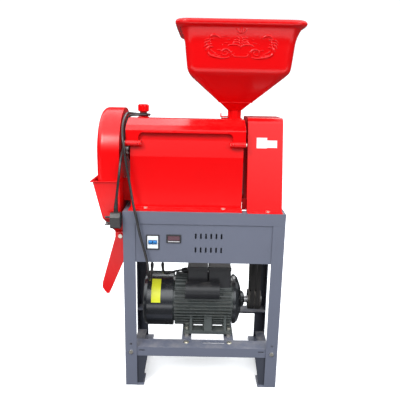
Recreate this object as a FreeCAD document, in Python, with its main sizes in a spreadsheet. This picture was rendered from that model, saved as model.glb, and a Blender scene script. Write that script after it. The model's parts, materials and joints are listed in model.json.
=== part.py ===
import FreeCAD, Part
import math
import os
import Sketcher

# Rice huller on a welded stand.
# The origin is on the floor at the centre of the four legs. X runs to the right along the
# milling shaft, Y to the rear and Z up.

SIZES = {
    # stand of welded angle bar
    "stand_width": 500,
    "stand_depth": 320,
    "stand_height": 600,
    "leg_side": 38,
    "leg_wall": 3,
    "foot_side": 60,
    "foot_wall": 5,
    "foot_hole_radius": 5.5,
    "rail_top": 140,
    "rail_flange": 52,
    "rail_drop": 32,
    "rail_slot_length": 76,
    "rail_slot_width": 7,
    "tie_foot": 10,
    "gusset_top_width": 77,
    "gusset_foot_width": 56,
    "gusset_wall": 3,
    # control panel under the top rail
    "panel_height": 125,
    "panel_wall": 1.5,
    "panel_floor_depth": 78,
    "vent_width": 5,
    "vent_height": 17,
    "vent_step": 16,
    "breaker_width": 35,
    "breaker_height": 42,
    "breaker_depth": 60,
    "breaker_frame": 6,
    "toggle_width": 27,
    "toggle_height": 14,
    "meter_width": 42,
    "meter_height": 23,
    "meter_depth": 22,
    "bezel_depth": 3,
    # mill body on the stand
    "mill_left": 230,
    "mill_right": 116,
    "mill_front": 120,
    "mill_rear": 118,
    "shaft_rise": 165,
    "end_wall": 8,
    "cover_wall": 3,
    "cover_flange": 30,
    "base_wall": 4,
    "bearing_radius": 34,
    "bearing_depth": 20,
    "chamber_bore": 43,
    "chamber_wall": 7,
    "chamber_left": 190,
    "chamber_right": 106,
    "screen_wall": 1.5,
    # hinged hood over the chamber
    "hood_left": 242,
    "hood_right": 121,
    "hood_rise": 277,
    "hood_front": 124,
    "hood_rear": 25,
    "hood_wall": 4,
    "hood_skirt": 39,
    "hood_slope_depth": 64,
    "hood_slope_drop": 31,
    "hood_bend_depth": 16,
    "hood_bend_drop": 18,
    "hood_leg_width": 38,
    "hinge_drop": 71,
    "hinge_front": 131,
    "hinge_radius": 8,
    "hinge_pin_radius": 4,
    # milling pressure screw and gate
    "knob_place": 204,
    "knob_rear": 10,
    "knob_radius": 18,
    "knob_height": 42,
    "neck_radius": 11,
    "screw_radius": 5,
    "gate_wall": 6,
    # feed parts
    "feed_place": 92,
    "throat_width": 42,
    "throat_bore": 11,
    "throat_height": 32,
    "throat_flange": 66,
    "slide_wall": 3,
    "slide_width": 27,
    "collar_width": 96,
    "collar_height": 24,
    "sheet_wall": 2.5,
    "hopper_foot_width": 100,
    "hopper_low_width": 303,
    "hopper_low_height": 88,
    "hopper_bend": 13,
    "hopper_high_width": 314,
    "hopper_high_height": 150,
    "hopper_rim_width": 352,
    "hopper_rim_height": 218,
    "rim_radius": 9.5,
    # winnowing fan and rice outlet on the left
    "housing_right": 260,
    "housing_width": 70,
    "housing_radius": 142,
    "housing_rise": 90,
    "housing_round": 20,
    "funnel_drop": 195,
    "spout_width": 38,
    "spout_depth": 60,
    "inlet_radius": 46,
    "chute_length": 222,
    "chute_tilt": 16,
    "chute_width": 52,
    "chute_side": 44,
    "duct_depth": 120,
    # belt drive on the right
    "guard_left": 131.5,
    "guard_width": 109,
    "guard_front": 138,
    "guard_lean": 73,
    "guard_rear": 112,
    "guard_rise": 284,
    "guard_round": 22,
    "pulley_place": 184,
    "driven_radius": 85,
    "motor_pulley_radius": 35,
    "pulley_width": 44,
    "belt_pitch": 19,
    "belt_top": 13,
    "belt_foot": 8.5,
    "belt_height": 8,
    # turning parts of the mill
    "shaft_radius": 14,
    "journal_radius": 11,
    "roller_radius": 35,
    "rib_height": 5,
    "flight_radius": 41,
    "flight_pitch": 26,
    "impeller_radius": 108,
    "blade_width": 40,
    # electric motor
    "motor_height": 244,
    "motor_foot_height": 90,
    "stator_left": 100,
    "stator_right": 106,
    "stator_radius": 80,
    "fin_height": 12,
    "fin_wall": 3.6,
    "fin_pitch": 12,
    "cowl_radius": 94,
    "cowl_length": 102,
    "shield_length": 36,
    "motor_shaft_radius": 12,
    "foot_plate_wall": 12,
    # cords
    "cord_radius": 4,
    "lead_radius": 3.5,
    # running and assembly clearances
    "running_gap": 0.06,
    "curved_gap": 0.3,
    "bolt_radius": 4,
    "bolt_head": 7,
}

doc = FreeCAD.newDocument("RiceHuller")
sheet = doc.addObject("Spreadsheet::Sheet", "Sizes")
for row, (alias, number) in enumerate(SIZES.items(), start=1):
    sheet.set("A%d" % row, str(number))
    sheet.setAlias("A%d" % row, alias)
doc.recompute()


# ---------------------------------------------------------------- sizes that keep their formula


class Size:
    """A length that carries its value and the spreadsheet formula that gives it."""

    def __init__(self, value, formula):
        self.value = value
        self.formula = formula

    def __add__(self, other):
        return Size(self.value + number(other), "(%s + %s)" % (self.formula, formula(other)))

    def __radd__(self, other):
        return Size(number(other) + self.value, "(%s + %s)" % (formula(other), self.formula))

    def __sub__(self, other):
        return Size(self.value - number(other), "(%s - %s)" % (self.formula, formula(other)))

    def __rsub__(self, other):
        return Size(number(other) - self.value, "(%s - %s)" % (formula(other), self.formula))

    def __mul__(self, other):
        return Size(self.value * number(other), "(%s * %s)" % (self.formula, formula(other)))

    def __rmul__(self, other):
        return Size(number(other) * self.value, "(%s * %s)" % (formula(other), self.formula))

    def __truediv__(self, other):
        return Size(self.value / number(other), "(%s / %s)" % (self.formula, formula(other)))

    def __neg__(self):
        return Size(-self.value, "(-1 * %s)" % self.formula)

    def __float__(self):
        return float(self.value)


def number(size):
    return float(size)


def formula(size):
    return size.formula if isinstance(size, Size) else repr(float(size))


def chord(radius, offset):
    """Half the chord of a circle at an offset from its centre."""
    half = math.sqrt(number(radius) ** 2 - number(offset) ** 2)
    text = "sqrt(%s * %s - %s * %s)" % (formula(radius), formula(radius), formula(offset), formula(offset))
    return Size(half, text)


def vector(x, y, z):
    return FreeCAD.Vector(number(x), number(y), number(z))


class Sheet:
    """The spreadsheet's cells by name, each as a Size."""

    def __getattr__(self, alias):
        return Size(float(sheet.get(alias)), "Sizes." + alias)


s = Sheet()


def bind(item, **sizes):
    """Sets properties of a document object and ties them to the spreadsheet."""
    for name, size in sizes.items():
        setattr(item, name, number(size))
        if isinstance(size, Size):
            item.setExpression(name, size.formula)


def place(item, x, y, z, rotation=None):
    """Moves an object to a point that follows the spreadsheet."""
    item.Placement = FreeCAD.Placement(vector(x, y, z), rotation or FreeCAD.Rotation())
    for name, size in (("x", x), ("y", y), ("z", z)):
        if isinstance(size, Size):
            item.setExpression("Placement.Base." + name, size.formula)
    return item


# ---------------------------------------------------------------- modelling helpers

PARTS = []
PLANES = {"X": "YZ_Plane", "Y": "XZ_Plane", "Z": "XY_Plane"}
TURN_TO = {
    "X": FreeCAD.Rotation(FreeCAD.Vector(0, 1, 0), 90),
    "Y": FreeCAD.Rotation(FreeCAD.Vector(1, 0, 0), -90),
    "Z": FreeCAD.Rotation(),
}


def part(item, label):
    """Marks an object as one sub-part, under the name of its file."""
    item.Label = label
    PARTS.append(item)
    return item


def origin_plane(body, axis):
    for feature in body.Origin.OriginFeatures:
        if feature.Role == PLANES[axis]:
            return feature


def sketch_across(body, axis, start=0):
    """An empty sketch square to an axis, at a distance along it."""
    sketch = body.newObject("Sketcher::SketchObject", body.Name + "_sketch")
    sketch.AttachmentSupport = (origin_plane(body, axis), [""])
    sketch.MapMode = "FlatFace"
    offset = -1 * start if axis == "Y" else start
    sketch.AttachmentOffset = FreeCAD.Placement(vector(0, 0, offset), FreeCAD.Rotation())
    if isinstance(offset, Size):
        sketch.setExpression("AttachmentOffset.Base.z", offset.formula)
    return sketch


def dimension(sketch, kind, size, *targets):
    """One driving dimension of a sketch, tied to the spreadsheet."""
    index = sketch.addConstraint(Sketcher.Constraint(kind, *targets, number(size)))
    if isinstance(size, Size):
        sketch.setExpression("Constraints[%d]" % index, size.formula)


def fix_point(sketch, geometry, end, across, up):
    dimension(sketch, "DistanceX", across, -1, 1, geometry, end)
    dimension(sketch, "DistanceY", up, -1, 1, geometry, end)


def add_loop(sketch, corners):
    """A closed outline of straight lines through corners that follow the spreadsheet."""
    first = sketch.GeometryCount
    count = len(corners)
    for index in range(count):
        here = vector(corners[index][0], corners[index][1], 0)
        there = vector(corners[(index + 1) % count][0], corners[(index + 1) % count][1], 0)
        sketch.addGeometry(Part.LineSegment(here, there), False)
    for index in range(count):
        following = first + (index + 1) % count
        sketch.addConstraint(Sketcher.Constraint("Coincident", first + index, 2, following, 1))
    for index, (across, up) in enumerate(corners):
        fix_point(sketch, first + index, 1, across, up)


def add_circle(sketch, across, up, radius):
    circle = Part.Circle(vector(across, up, 0), FreeCAD.Vector(0, 0, 1), number(radius))
    index = sketch.addGeometry(circle, False)
    fix_point(sketch, index, 3, across, up)
    dimension(sketch, "Radius", radius, index)


def add_rounded_rectangle(sketch, centre, half_width, half_height, radius):
    """A rectangle with four round corners, tied to the spreadsheet by its sides and radius."""
    x, y = number(centre[0]), number(centre[1])
    a, b, r = number(half_width), number(half_height), number(radius)
    first = sketch.GeometryCount
    turns = ((1, -1, 270), (1, 1, 0), (-1, 1, 90), (-1, -1, 180))
    for side, rise, start in turns:
        middle = FreeCAD.Vector(x + side * (a - r), y + rise * (b - r), 0)
        circle = Part.Circle(middle, FreeCAD.Vector(0, 0, 1), r)
        arc = Part.ArcOfCircle(circle, math.radians(start), math.radians(start + 90))
        sketch.addGeometry(arc, False)
    ends = (
        (x - a + r, y - b, x + a - r, y - b),
        (x + a, y - b + r, x + a, y + b - r),
        (x + a - r, y + b, x - a + r, y + b),
        (x - a, y + b - r, x - a, y - b + r),
    )
    for x0, y0, x1, y1 in ends:
        line = Part.LineSegment(FreeCAD.Vector(x0, y0, 0), FreeCAD.Vector(x1, y1, 0))
        sketch.addGeometry(line, False)
    for index in range(4):
        line = first + 4 + index
        sketch.addConstraint(Sketcher.Constraint("Tangent", line, 2, first + index, 1))
        following = first + 4 + (index + 1) % 4
        sketch.addConstraint(Sketcher.Constraint("Tangent", first + index, 2, following, 1))
        kind = "Vertical" if index % 2 else "Horizontal"
        sketch.addConstraint(Sketcher.Constraint(kind, line))
    for index in range(1, 4):
        sketch.addConstraint(Sketcher.Constraint("Equal", first, first + index))
    dimension(sketch, "Radius", radius, first)
    dimension(sketch, "DistanceX", centre[0] + half_width, -1, 1, first + 5, 1)
    dimension(sketch, "DistanceX", centre[0] - half_width, -1, 1, first + 7, 1)
    dimension(sketch, "DistanceY", centre[1] - half_height, -1, 1, first + 4, 1)
    dimension(sketch, "DistanceY", centre[1] + half_height, -1, 1, first + 6, 1)


def new_body(name):
    return doc.addObject("PartDesign::Body", name)


def prism(name, axis, corners, start, length, circles=(), windows=()):
    """A body padded along an axis from one outline, with round and straight openings."""
    body = new_body(name)
    sketch = sketch_across(body, axis, start)
    add_loop(sketch, corners)
    for circle in circles:
        add_circle(sketch, *circle)
    for window in windows:
        add_loop(sketch, window)
    pad = body.newObject("PartDesign::Pad", name + "_pad")
    pad.Profile = sketch
    pad.Reversed = axis == "Y"
    bind(pad, Length=length)
    return body


def pocket(body, axis, start, length, loops=(), circles=()):
    """Cuts outlines through a body along an axis, from a start and for a length."""
    sketch = sketch_across(body, axis, start)
    for loop in loops:
        add_loop(sketch, loop)
    for circle in circles:
        add_circle(sketch, *circle)
    doc.recompute()
    before = body.Shape.Volume
    cut = body.newObject("PartDesign::Pocket", body.Name + "_pocket")
    cut.Profile = sketch
    cut.Reversed = axis != "Y"
    bind(cut, Length=length)
    doc.recompute()
    if body.Shape.Volume > before - 0.01:
        raise ValueError("a pocket of %s cuts nothing" % body.Name)
    return body


def fillet(body, radius, chosen):
    """Rounds the edges of a body whose middle point and direction pass the chosen test."""
    doc.recompute()
    tip = body.Tip
    names = []
    for index, edge in enumerate(tip.Shape.Edges, start=1):
        middle = edge.valueAt((edge.FirstParameter + edge.LastParameter) / 2)
        along = edge.tangentAt((edge.FirstParameter + edge.LastParameter) / 2)
        if chosen(middle, along):
            names.append("Edge%d" % index)
    round_off = body.newObject("PartDesign::Fillet", body.Name + "_fillet")
    round_off.Base = (tip, names)
    bind(round_off, Radius=radius)
    return body


def turned(name, axis, corners, x=0, y=0, z=0):
    """A body revolved about an axis from an outline of places along it and radii."""
    body = new_body(name)
    plane = "X" if axis == "Y" else "Y"
    sketch = sketch_across(body, plane)
    if axis == "Z":
        add_loop(sketch, [(radius, along) for along, radius in corners])
    else:
        add_loop(sketch, corners)
    revolution = body.newObject("PartDesign::Revolution", name + "_turn")
    revolution.Profile = sketch
    revolution.ReferenceAxis = (sketch, ["V_Axis" if axis == "Z" else "H_Axis"])
    revolution.Angle = 360
    return place(body, x, y, z)


def half_turned(name, corners, lower, x=0, y=0, z=0):
    """A half round body about the X axis, above it or below it."""
    body = new_body(name)
    sketch = sketch_across(body, "Z")
    add_loop(sketch, corners)
    revolution = body.newObject("PartDesign::Revolution", name + "_turn")
    revolution.Profile = sketch
    revolution.ReferenceAxis = (sketch, ["H_Axis"])
    revolution.Angle = 180
    revolution.Reversed = lower
    return place(body, x, y, z)


def polar_copies(body, feature, axis_role, count):
    pattern = body.newObject("PartDesign::PolarPattern", body.Name + "_ring")
    pattern.Originals = [feature]
    line = next(item for item in body.Origin.OriginFeatures if item.Role == axis_role)
    pattern.Axis = (line, [""])
    pattern.Angle = 360
    pattern.Occurrences = int(number(count))
    if isinstance(count, Size):
        pattern.setExpression("Occurrences", count.formula)
    body.Tip = pattern
    return pattern


def box(name, x, y, z, length, width, height):
    shape = doc.addObject("Part::Box", name)
    bind(shape, Length=length, Width=width, Height=height)
    return place(shape, x, y, z)


def cylinder(name, axis, x, y, z, radius, length):
    """A cylinder that starts at a point and runs along an axis."""
    shape = doc.addObject("Part::Cylinder", name)
    bind(shape, Radius=radius, Height=length)
    return place(shape, x, y, z, TURN_TO[axis])


def cut(name, base, *tools):
    result = doc.addObject("Part::Cut", name)
    result.Base = base
    result.Tool = tools[0] if len(tools) == 1 else fuse(name + "_tools", *tools)
    return result


def fuse(name, *shapes):
    result = doc.addObject("Part::MultiFuse", name)
    result.Shapes = list(shapes)
    return result


def group(label, *shapes):
    """Separate solids that share one sub-part."""
    result = doc.addObject("Part::Compound", label + "_set")
    result.Links = list(shapes)
    return part(result, label)


def loft(name, sections, inner_sections=()):
    """A body lofted straight through rounded rectangles, each at its own height."""
    body = new_body(name)

    def add(kind, outlines):
        sketches = []
        for height, centre, half_width, half_depth, radius in outlines:
            sketch = sketch_across(body, "Z", height)
            add_rounded_rectangle(sketch, centre, half_width, half_depth, radius)
            sketches.append(sketch)
        feature = body.newObject(kind, name + "_loft")
        feature.Profile = sketches[0]
        feature.Sections = sketches[1:]
        feature.Ruled = True

    add("PartDesign::AdditiveLoft", sections)
    if inner_sections:
        add("PartDesign::SubtractiveLoft", inner_sections)
    return body


def bolt(name, axis, x, y, z, reach, head_side):
    """A hexagon bolt whose head's seat is at a point; the shank runs away from the head."""
    head = doc.addObject("Part::Prism", name + "_head")
    head.Polygon = 6
    thickness = s.bolt_radius
    bind(head, Circumradius=s.bolt_head, Height=thickness)
    shank = doc.addObject("Part::Cylinder", name + "_shank")
    bind(shank, Radius=s.bolt_radius, Height=reach)
    seat = {"X": x, "Y": y, "Z": z}
    head_at = dict(seat)
    shank_at = dict(seat)
    if head_side > 0:
        shank_at[axis] = seat[axis] - reach
    else:
        head_at[axis] = seat[axis] - thickness
    place(head, head_at["X"], head_at["Y"], head_at["Z"], TURN_TO[axis])
    place(shank, shank_at["X"], shank_at["Y"], shank_at["Z"], TURN_TO[axis])
    return fuse(name, head, shank)


def hole_radius():
    return s.bolt_radius + s.curved_gap


# ---------------------------------------------------------------- places shared by several pieces

half_width = s.stand_width / 2
half_depth = s.stand_depth / 2
leg_top = s.stand_height - s.leg_side
shaft_z = s.stand_height + s.shaft_rise
hood_top = s.stand_height + s.hood_rise
hinge_z = hood_top - s.hinge_drop
housing_foot = s.stand_height + s.housing_rise
guard_top = s.stand_height + s.guard_rise
base_top = s.stand_height + s.base_wall
hood_seat = hood_top - s.hood_wall - s.curved_gap
feed_foot = hood_top - s.hood_wall
boss_height = 6


# ---------------------------------------------------------------- stand


def angle_leg(label, side, rear):
    """One leg of angle bar: side is -1 on the left, rear is -1 at the front."""
    outer_x = side * half_width
    outer_y = rear * half_depth
    inner_x = side * (half_width - s.leg_side)
    inner_y = rear * (half_depth - s.leg_side)
    wall_x = side * (half_width - s.leg_wall)
    wall_y = rear * (half_depth - s.leg_wall)
    corners = [
        (outer_x, outer_y), (inner_x, outer_y), (inner_x, wall_y),
        (wall_x, wall_y), (wall_x, inner_y), (outer_x, inner_y),
    ]
    leg = prism(label, "Z", corners, s.foot_wall, leg_top - s.foot_wall)
    bolt_x = side * (half_width - s.leg_side / 2)
    bolt_z = s.rail_top - s.rail_drop / 2
    start = outer_y if rear < 0 else wall_y
    holes = [(bolt_x, bolt_z, hole_radius())]
    if rear < 0:
        holes.append((bolt_x, s.rail_top + s.bolt_radius * 3, s.bolt_radius))
    pocket(leg, "Y", start, s.leg_wall, circles=holes)
    return part(leg, label)


def stand_legs():
    for side, side_name in ((-1, "left"), (1, "right")):
        for rear, rear_name in ((-1, "front"), (1, "rear")):
            angle_leg("leg_%s_%s" % (rear_name, side_name), side, rear)


def foot_plates():
    """Square plates under the legs, each with the hole of a floor anchor."""
    plates = []
    half = s.foot_side / 2
    for side in (-1, 1):
        for rear in (-1, 1):
            centre_x = side * (half_width - half)
            centre_y = rear * (half_depth - half)
            corners = [
                (centre_x - half, centre_y - half), (centre_x + half, centre_y - half),
                (centre_x + half, centre_y + half), (centre_x - half, centre_y + half),
            ]
            anchor_x = side * (half_width - s.foot_side * 0.6)
            anchor_y = rear * (half_depth - s.foot_side * 0.6)
            hole = (anchor_x, anchor_y, s.foot_hole_radius)
            name = "foot_%d_%d" % (side + 1, rear + 1)
            plates.append(prism(name, "Z", corners, 0, s.foot_wall, circles=[hole]))
    group("foot_plates", *plates)


def rail_along_x(label, rear):
    """Front or rear member of the top frame, an angle bar with its corner up and outward."""
    outer = rear * half_depth
    wall = rear * (half_depth - s.leg_wall)
    inner = rear * (half_depth - s.leg_side)
    top = s.stand_height
    corners = [
        (outer, top), (inner, top), (inner, top - s.leg_wall),
        (wall, top - s.leg_wall), (wall, leg_top), (outer, leg_top),
    ]
    return part(prism(label, "X", corners, -half_width, s.stand_width), label)


def side_rails():
    rails = []
    for side, name in ((-1, "side_rail_left"), (1, "side_rail_right")):
        outer = side * half_width
        wall = side * (half_width - s.leg_wall)
        inner = side * (half_width - s.leg_side)
        top = s.stand_height
        corners = [
            (outer, top), (inner, top), (inner, top - s.leg_wall),
            (wall, top - s.leg_wall), (wall, leg_top), (outer, leg_top),
        ]
        start = s.leg_side - half_depth
        rails.append(prism(name, "Y", corners, start, s.stand_depth - 2 * s.leg_side))
    group("side_rails", *rails)


def motor_rail(label, rear):
    """A lower cross rail of angle bar that carries two of the motor's feet bolts."""
    outer = rear * (half_depth - s.leg_wall)
    wall = rear * (half_depth - 2 * s.leg_wall)
    inner = rear * (half_depth - s.leg_wall - s.rail_flange)
    low = s.rail_top - s.rail_drop
    corners = [
        (outer, s.rail_top), (inner, s.rail_top), (inner, s.rail_top - s.leg_wall),
        (wall, s.rail_top - s.leg_wall), (wall, low), (outer, low),
    ]
    start = s.leg_wall - half_width
    rail = prism(label, "X", corners, start, s.stand_width - 2 * s.leg_wall)
    face = outer if rear < 0 else wall
    bolt_z = s.rail_top - s.rail_drop / 2
    bolt_x = half_width - s.leg_side / 2
    holes = [(side * bolt_x, bolt_z, hole_radius()) for side in (-1, 1)]
    end_slot_x = half_width - s.leg_side - 16
    end_slots = [slot_outline(side * end_slot_x, bolt_z + 4, 18, 5) for side in (-1, 1)]
    pocket(rail, "Y", face, s.leg_wall, loops=end_slots, circles=holes)
    stud_y = rear * motor_stud_y()
    studs = [(x, stud_y, hole_radius()) for x in bar_places()]
    slot_x = foot_right() - s.fin_pitch * 2 - s.rail_slot_length / 2
    slots = [slot_outline(slot_x, stud_y, s.rail_slot_length, s.rail_slot_width)]
    pocket(rail, "Z", s.rail_top - s.leg_wall, s.leg_wall, circles=studs, loops=slots)
    return part(rail, label)


def slot_outline(x, y, length, width):
    return [
        (x - length / 2, y - width / 2), (x + length / 2, y - width / 2),
        (x + length / 2, y + width / 2), (x - length / 2, y + width / 2),
    ]


def motor_stud_y():
    return half_depth - s.leg_wall - s.rail_flange * 0.65


def side_ties():
    """Side members close to the floor that join the front and rear legs."""
    ties = []
    for side, name in ((-1, "tie_left"), (1, "tie_right")):
        outer = side * (half_width - s.leg_wall)
        wall = side * (half_width - 2 * s.leg_wall)
        inner = side * (half_width - s.leg_side)
        low = s.tie_foot
        top = low + s.leg_side
        corners = [
            (outer, top), (inner, top), (inner, top - s.leg_wall),
            (wall, top - s.leg_wall), (wall, low), (outer, low),
        ]
        inset = s.leg_side
        ties.append(prism(name, "Y", corners, inset - half_depth, s.stand_depth - 2 * inset))
    group("side_ties", *ties)


def leg_gussets():
    """Tapered knee plates behind the front rail, from the rail down to the feet."""
    plates = []
    bolt_x = half_width - s.leg_side / 2
    bolt_z = s.rail_top - s.rail_drop / 2
    for side, name in ((-1, "gusset_left"), (1, "gusset_right")):
        outer = side * (half_width - s.leg_wall)
        top = s.rail_top - s.leg_wall
        corners = [
            (outer, top),
            (side * (half_width - s.gusset_top_width), top),
            (side * (half_width - s.gusset_foot_width), s.foot_wall),
            (outer, s.foot_wall),
        ]
        hole = (side * bolt_x, bolt_z, hole_radius())
        start = 2 * s.leg_wall - half_depth
        plates.append(prism(name, "Y", corners, start, s.gusset_wall, circles=[hole]))
    group("leg_gussets", *plates)


def rail_bolts():
    """Bolts that hold the motor rails to the legs, heads outward and a nut inside."""
    bolts = []
    bolt_x = half_width - s.leg_side / 2
    bolt_z = s.rail_top - s.rail_drop / 2
    for side in (-1, 1):
        for rear in (-1, 1):
            name = "rail_bolt_%d_%d" % (side + 1, rear + 1)
            grip = 2 * s.leg_wall + (s.gusset_wall if rear < 0 else 0)
            reach = grip + s.bolt_radius
            screw = bolt(name, "Y", side * bolt_x, rear * half_depth, bolt_z, reach, rear)
            nut = doc.addObject("Part::Prism", name + "_nut")
            nut.Polygon = 6
            bind(nut, Circumradius=s.bolt_head, Height=s.bolt_radius)
            inner = half_depth - grip
            nut_y = -inner if rear < 0 else inner - s.bolt_radius
            place(nut, side * bolt_x, nut_y, bolt_z, TURN_TO["Y"])
            bolts.append(fuse(name + "_set", screw, nut))
    group("rail_bolts", *bolts)


# ---------------------------------------------------------------- control panel

panel_top = leg_top
panel_bottom = leg_top - s.panel_height
panel_front = s.leg_wall - half_depth
breaker_x = 92 - half_width
breaker_z = panel_top - s.panel_height * 0.47
meter_x = 157 - half_width
meter_z = breaker_z + 12
gland_x = breaker_x - 8
gland_y = panel_front + 54
lead_x = breaker_x + 26
motor_gland_z = s.motor_height + 113


def control_panel():
    """A folded tray between the front legs: an upright face, a floor and a back."""
    half = half_width - s.leg_wall
    face = [(-half, panel_bottom), (half, panel_bottom), (half, panel_top), (-half, panel_top)]
    windows = []
    windows.append(rectangle(breaker_x, breaker_z, s.breaker_width, s.breaker_height))
    windows.append(rectangle(meter_x, meter_z, s.meter_width, s.meter_height))
    for row in (0, 1):
        for column in range(6):
            x = (column - 2.5) * s.vent_step + 15
            z = panel_top - s.panel_height * 0.3 - row * s.panel_height * 0.36
            windows.append(rectangle(x, z, s.vent_width, s.vent_height))
    front = prism("panel_face", "Y", face, panel_front, s.panel_wall, windows=windows)
    back = panel_front + s.panel_wall
    floor_corners = [
        (-half, back), (half, back),
        (half, panel_front + s.leg_side - s.leg_wall),
        (half - s.leg_side, panel_front + s.panel_floor_depth),
        (s.leg_side - half, panel_front + s.panel_floor_depth),
        (-half, panel_front + s.leg_side - s.leg_wall),
    ]
    holes = [
        (gland_x, gland_y, s.cord_radius + 2 + s.curved_gap),
        (lead_x, gland_y, s.lead_radius + 2 + s.curved_gap),
    ]
    floor = prism("panel_floor", "Z", floor_corners, panel_bottom, s.panel_wall, circles=holes)
    reach = half - s.leg_side
    back_wall = box(
        "panel_back", -reach, panel_front + s.panel_floor_depth - s.panel_wall, panel_bottom,
        2 * reach, s.panel_wall, s.panel_height,
    )
    part(fuse("control_panel_fold", front, floor, back_wall), "control_panel")


def rectangle(x, z, width, height):
    return [
        (x - width / 2, z - height / 2), (x + width / 2, z - height / 2),
        (x + width / 2, z + height / 2), (x - width / 2, z + height / 2),
    ]


def breaker():
    """Two-pole circuit breaker: a body through the panel, a frame in front and a rocker."""
    inner = s.breaker_width - 2 * s.curved_gap
    tall = s.breaker_height - 2 * s.curved_gap
    body = prism(
        "breaker_case", "Y", rectangle(breaker_x, breaker_z, inner, tall),
        panel_front - s.bezel_depth, s.breaker_depth,
    )
    edge = s.breaker_frame
    frame = prism(
        "breaker_bezel", "Y",
        rectangle(breaker_x, breaker_z, s.breaker_width + edge, s.breaker_height + edge),
        panel_front - s.bezel_depth, s.bezel_depth,
    )
    whole = fuse("breaker_shell", body, frame)
    well = box(
        "toggle_well",
        breaker_x - s.toggle_width / 2 - s.curved_gap, panel_front - s.bezel_depth - 1,
        breaker_z - s.toggle_height / 2 - s.curved_gap,
        s.toggle_width + 2 * s.curved_gap, s.bezel_depth + 1 + s.toggle_height / 2 + s.curved_gap,
        s.toggle_height + 2 * s.curved_gap,
    )
    part(cut("breaker_cut", whole, well), "breaker_body")
    radius = s.toggle_height / 2
    barrel = cylinder(
        "toggle_barrel", "X", breaker_x - s.toggle_width / 2, panel_front, breaker_z,
        radius, s.toggle_width,
    )
    lever = prism(
        "toggle_lever", "X",
        [
            (panel_front, breaker_z - 3), (panel_front - radius - 5, breaker_z + 1),
            (panel_front - radius - 5, breaker_z + 5), (panel_front, breaker_z + radius - 1),
        ],
        breaker_x - s.toggle_width / 2, s.toggle_width,
    )
    part(fuse("toggle_form", barrel, lever), "breaker_toggle")


def panel_meter():
    """Small digital meter: a body through the panel and a bezel with a sunk window."""
    body = prism(
        "meter_case", "Y",
        rectangle(meter_x, meter_z, s.meter_width - 2 * s.curved_gap, s.meter_height - 2 * s.curved_gap),
        panel_front - s.bezel_depth, s.meter_depth,
    )
    frame = prism(
        "meter_bezel", "Y", rectangle(meter_x, meter_z, s.meter_width + 4, s.meter_height + 4),
        panel_front - s.bezel_depth, s.bezel_depth,
    )
    window = box(
        "meter_window_cut", meter_x - s.meter_width / 2 + 4, panel_front - s.bezel_depth - 1,
        meter_z - s.meter_height / 2 + 6, s.meter_width - 8, 2.5, s.meter_height - 10,
    )
    part(cut("meter_cut", fuse("meter_shell", body, frame), window), "panel_meter")


def cable_glands():
    """Glands in the panel's floor, one for the mains cord and one for the motor's lead."""
    glands = []
    for name, x, cord in (("mains", gland_x, s.cord_radius), ("lead", lead_x, s.lead_radius)):
        nose = cord + 5
        outline = [
            (-14, cord), (-14, nose - 2), (-2, nose), (0, nose), (0, cord + 2),
            (s.panel_wall, cord + 2), (s.panel_wall, nose), (6, nose), (6, cord),
        ]
        glands.append(turned(name + "_gland", "Z", outline, x, gland_y, panel_bottom))
    side_outline = [
        (0, s.lead_radius), (0, s.lead_radius + 6), (-10, s.lead_radius + 6),
        (-22, s.lead_radius + 3), (-22, s.lead_radius),
    ]
    box_left = 49 - s.stator_left
    glands.append(turned("motor_gland", "X", side_outline, box_left, -20, motor_gland_z))
    group("cable_glands", *glands)


# ---------------------------------------------------------------- mill body


def base_plate():
    """Plate on the stand with a window that lets the bran fall."""
    corners = [
        (-s.mill_left - 4, -s.mill_front - s.cover_flange), (s.mill_right, -s.mill_front - s.cover_flange),
        (s.mill_right, s.mill_rear + 20), (-s.mill_left - 4, s.mill_rear + 20),
    ]
    window = [
        (-s.chamber_left, -90), (s.mill_right - 30, -90), (s.mill_right - 30, 90), (-s.chamber_left, 90),
    ]
    holes = [(x, y, hole_radius()) for x, y in base_bolt_places()]
    plate = prism("base_plate", "Z", corners, s.stand_height, s.base_wall, holes, [window])
    part(plate, "base_plate")


def base_bolt_places():
    """Bolts through the front cover's flange and the rear cover's flange into the base plate."""
    front = -s.mill_front - s.cover_flange * 0.6
    return [(x, y) for x in (s.base_wall * 12 - s.mill_left, s.mill_right - 58) for y in (front,)]


def hood_profile(inset):
    """Front of the hood seen along the shaft, drawn in by a wall: face, crease and top bend."""
    front = -s.hood_front
    return [
        (front + inset, hood_top - s.hood_slope_drop - inset * 0.48),
        (front + s.hood_bend_depth + inset * 0.5, hood_top - s.hood_bend_drop - inset * 0.88),
        (front + s.hood_slope_depth + inset * 0.18, hood_top - inset),
    ]


def plate_outline():
    """Outline of the two cast end plates, seen along the shaft."""
    front = -s.mill_front + s.cover_wall
    return [
        (front, base_top), (s.mill_rear, base_top), (s.mill_rear, shaft_z + 35),
        (s.mill_rear - 50, feed_foot - s.cover_wall), (2 - s.hood_rear, feed_foot - s.cover_wall),
        (2 - s.hood_rear, hood_seat), hood_profile(s.hood_wall + s.curved_gap)[2],
        (front + 14, hood_top - 22), (front + 14, hood_top - 25), (front + 9, shaft_z + 50),
        (front, shaft_z),
    ]


def end_plates():
    left = prism(
        "left_end_plate", "X", plate_outline(), -s.mill_left, s.end_wall,
        circles=[(0, shaft_z, s.shaft_radius + 4)],
    )
    pocket(left, "X", -s.mill_left, s.end_wall, loops=[duct_outline(s.cover_wall)])
    part(left, "left_end_plate")
    right = prism(
        "right_end_plate", "X", plate_outline(), s.mill_right - s.end_wall, s.end_wall,
        circles=[(0, shaft_z, s.shaft_radius + 4)],
    )
    part(right, "right_end_plate")


def duct_outline(inset):
    """Outline of the rice outlet, seen along the shaft, drawn in by a wall."""
    half = s.duct_depth / 2 - inset
    low = s.stand_height + 12 + inset
    high = housing_foot - 4 - inset
    return [(-half, low), (half, low), (half, high), (-half, high)]


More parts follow.
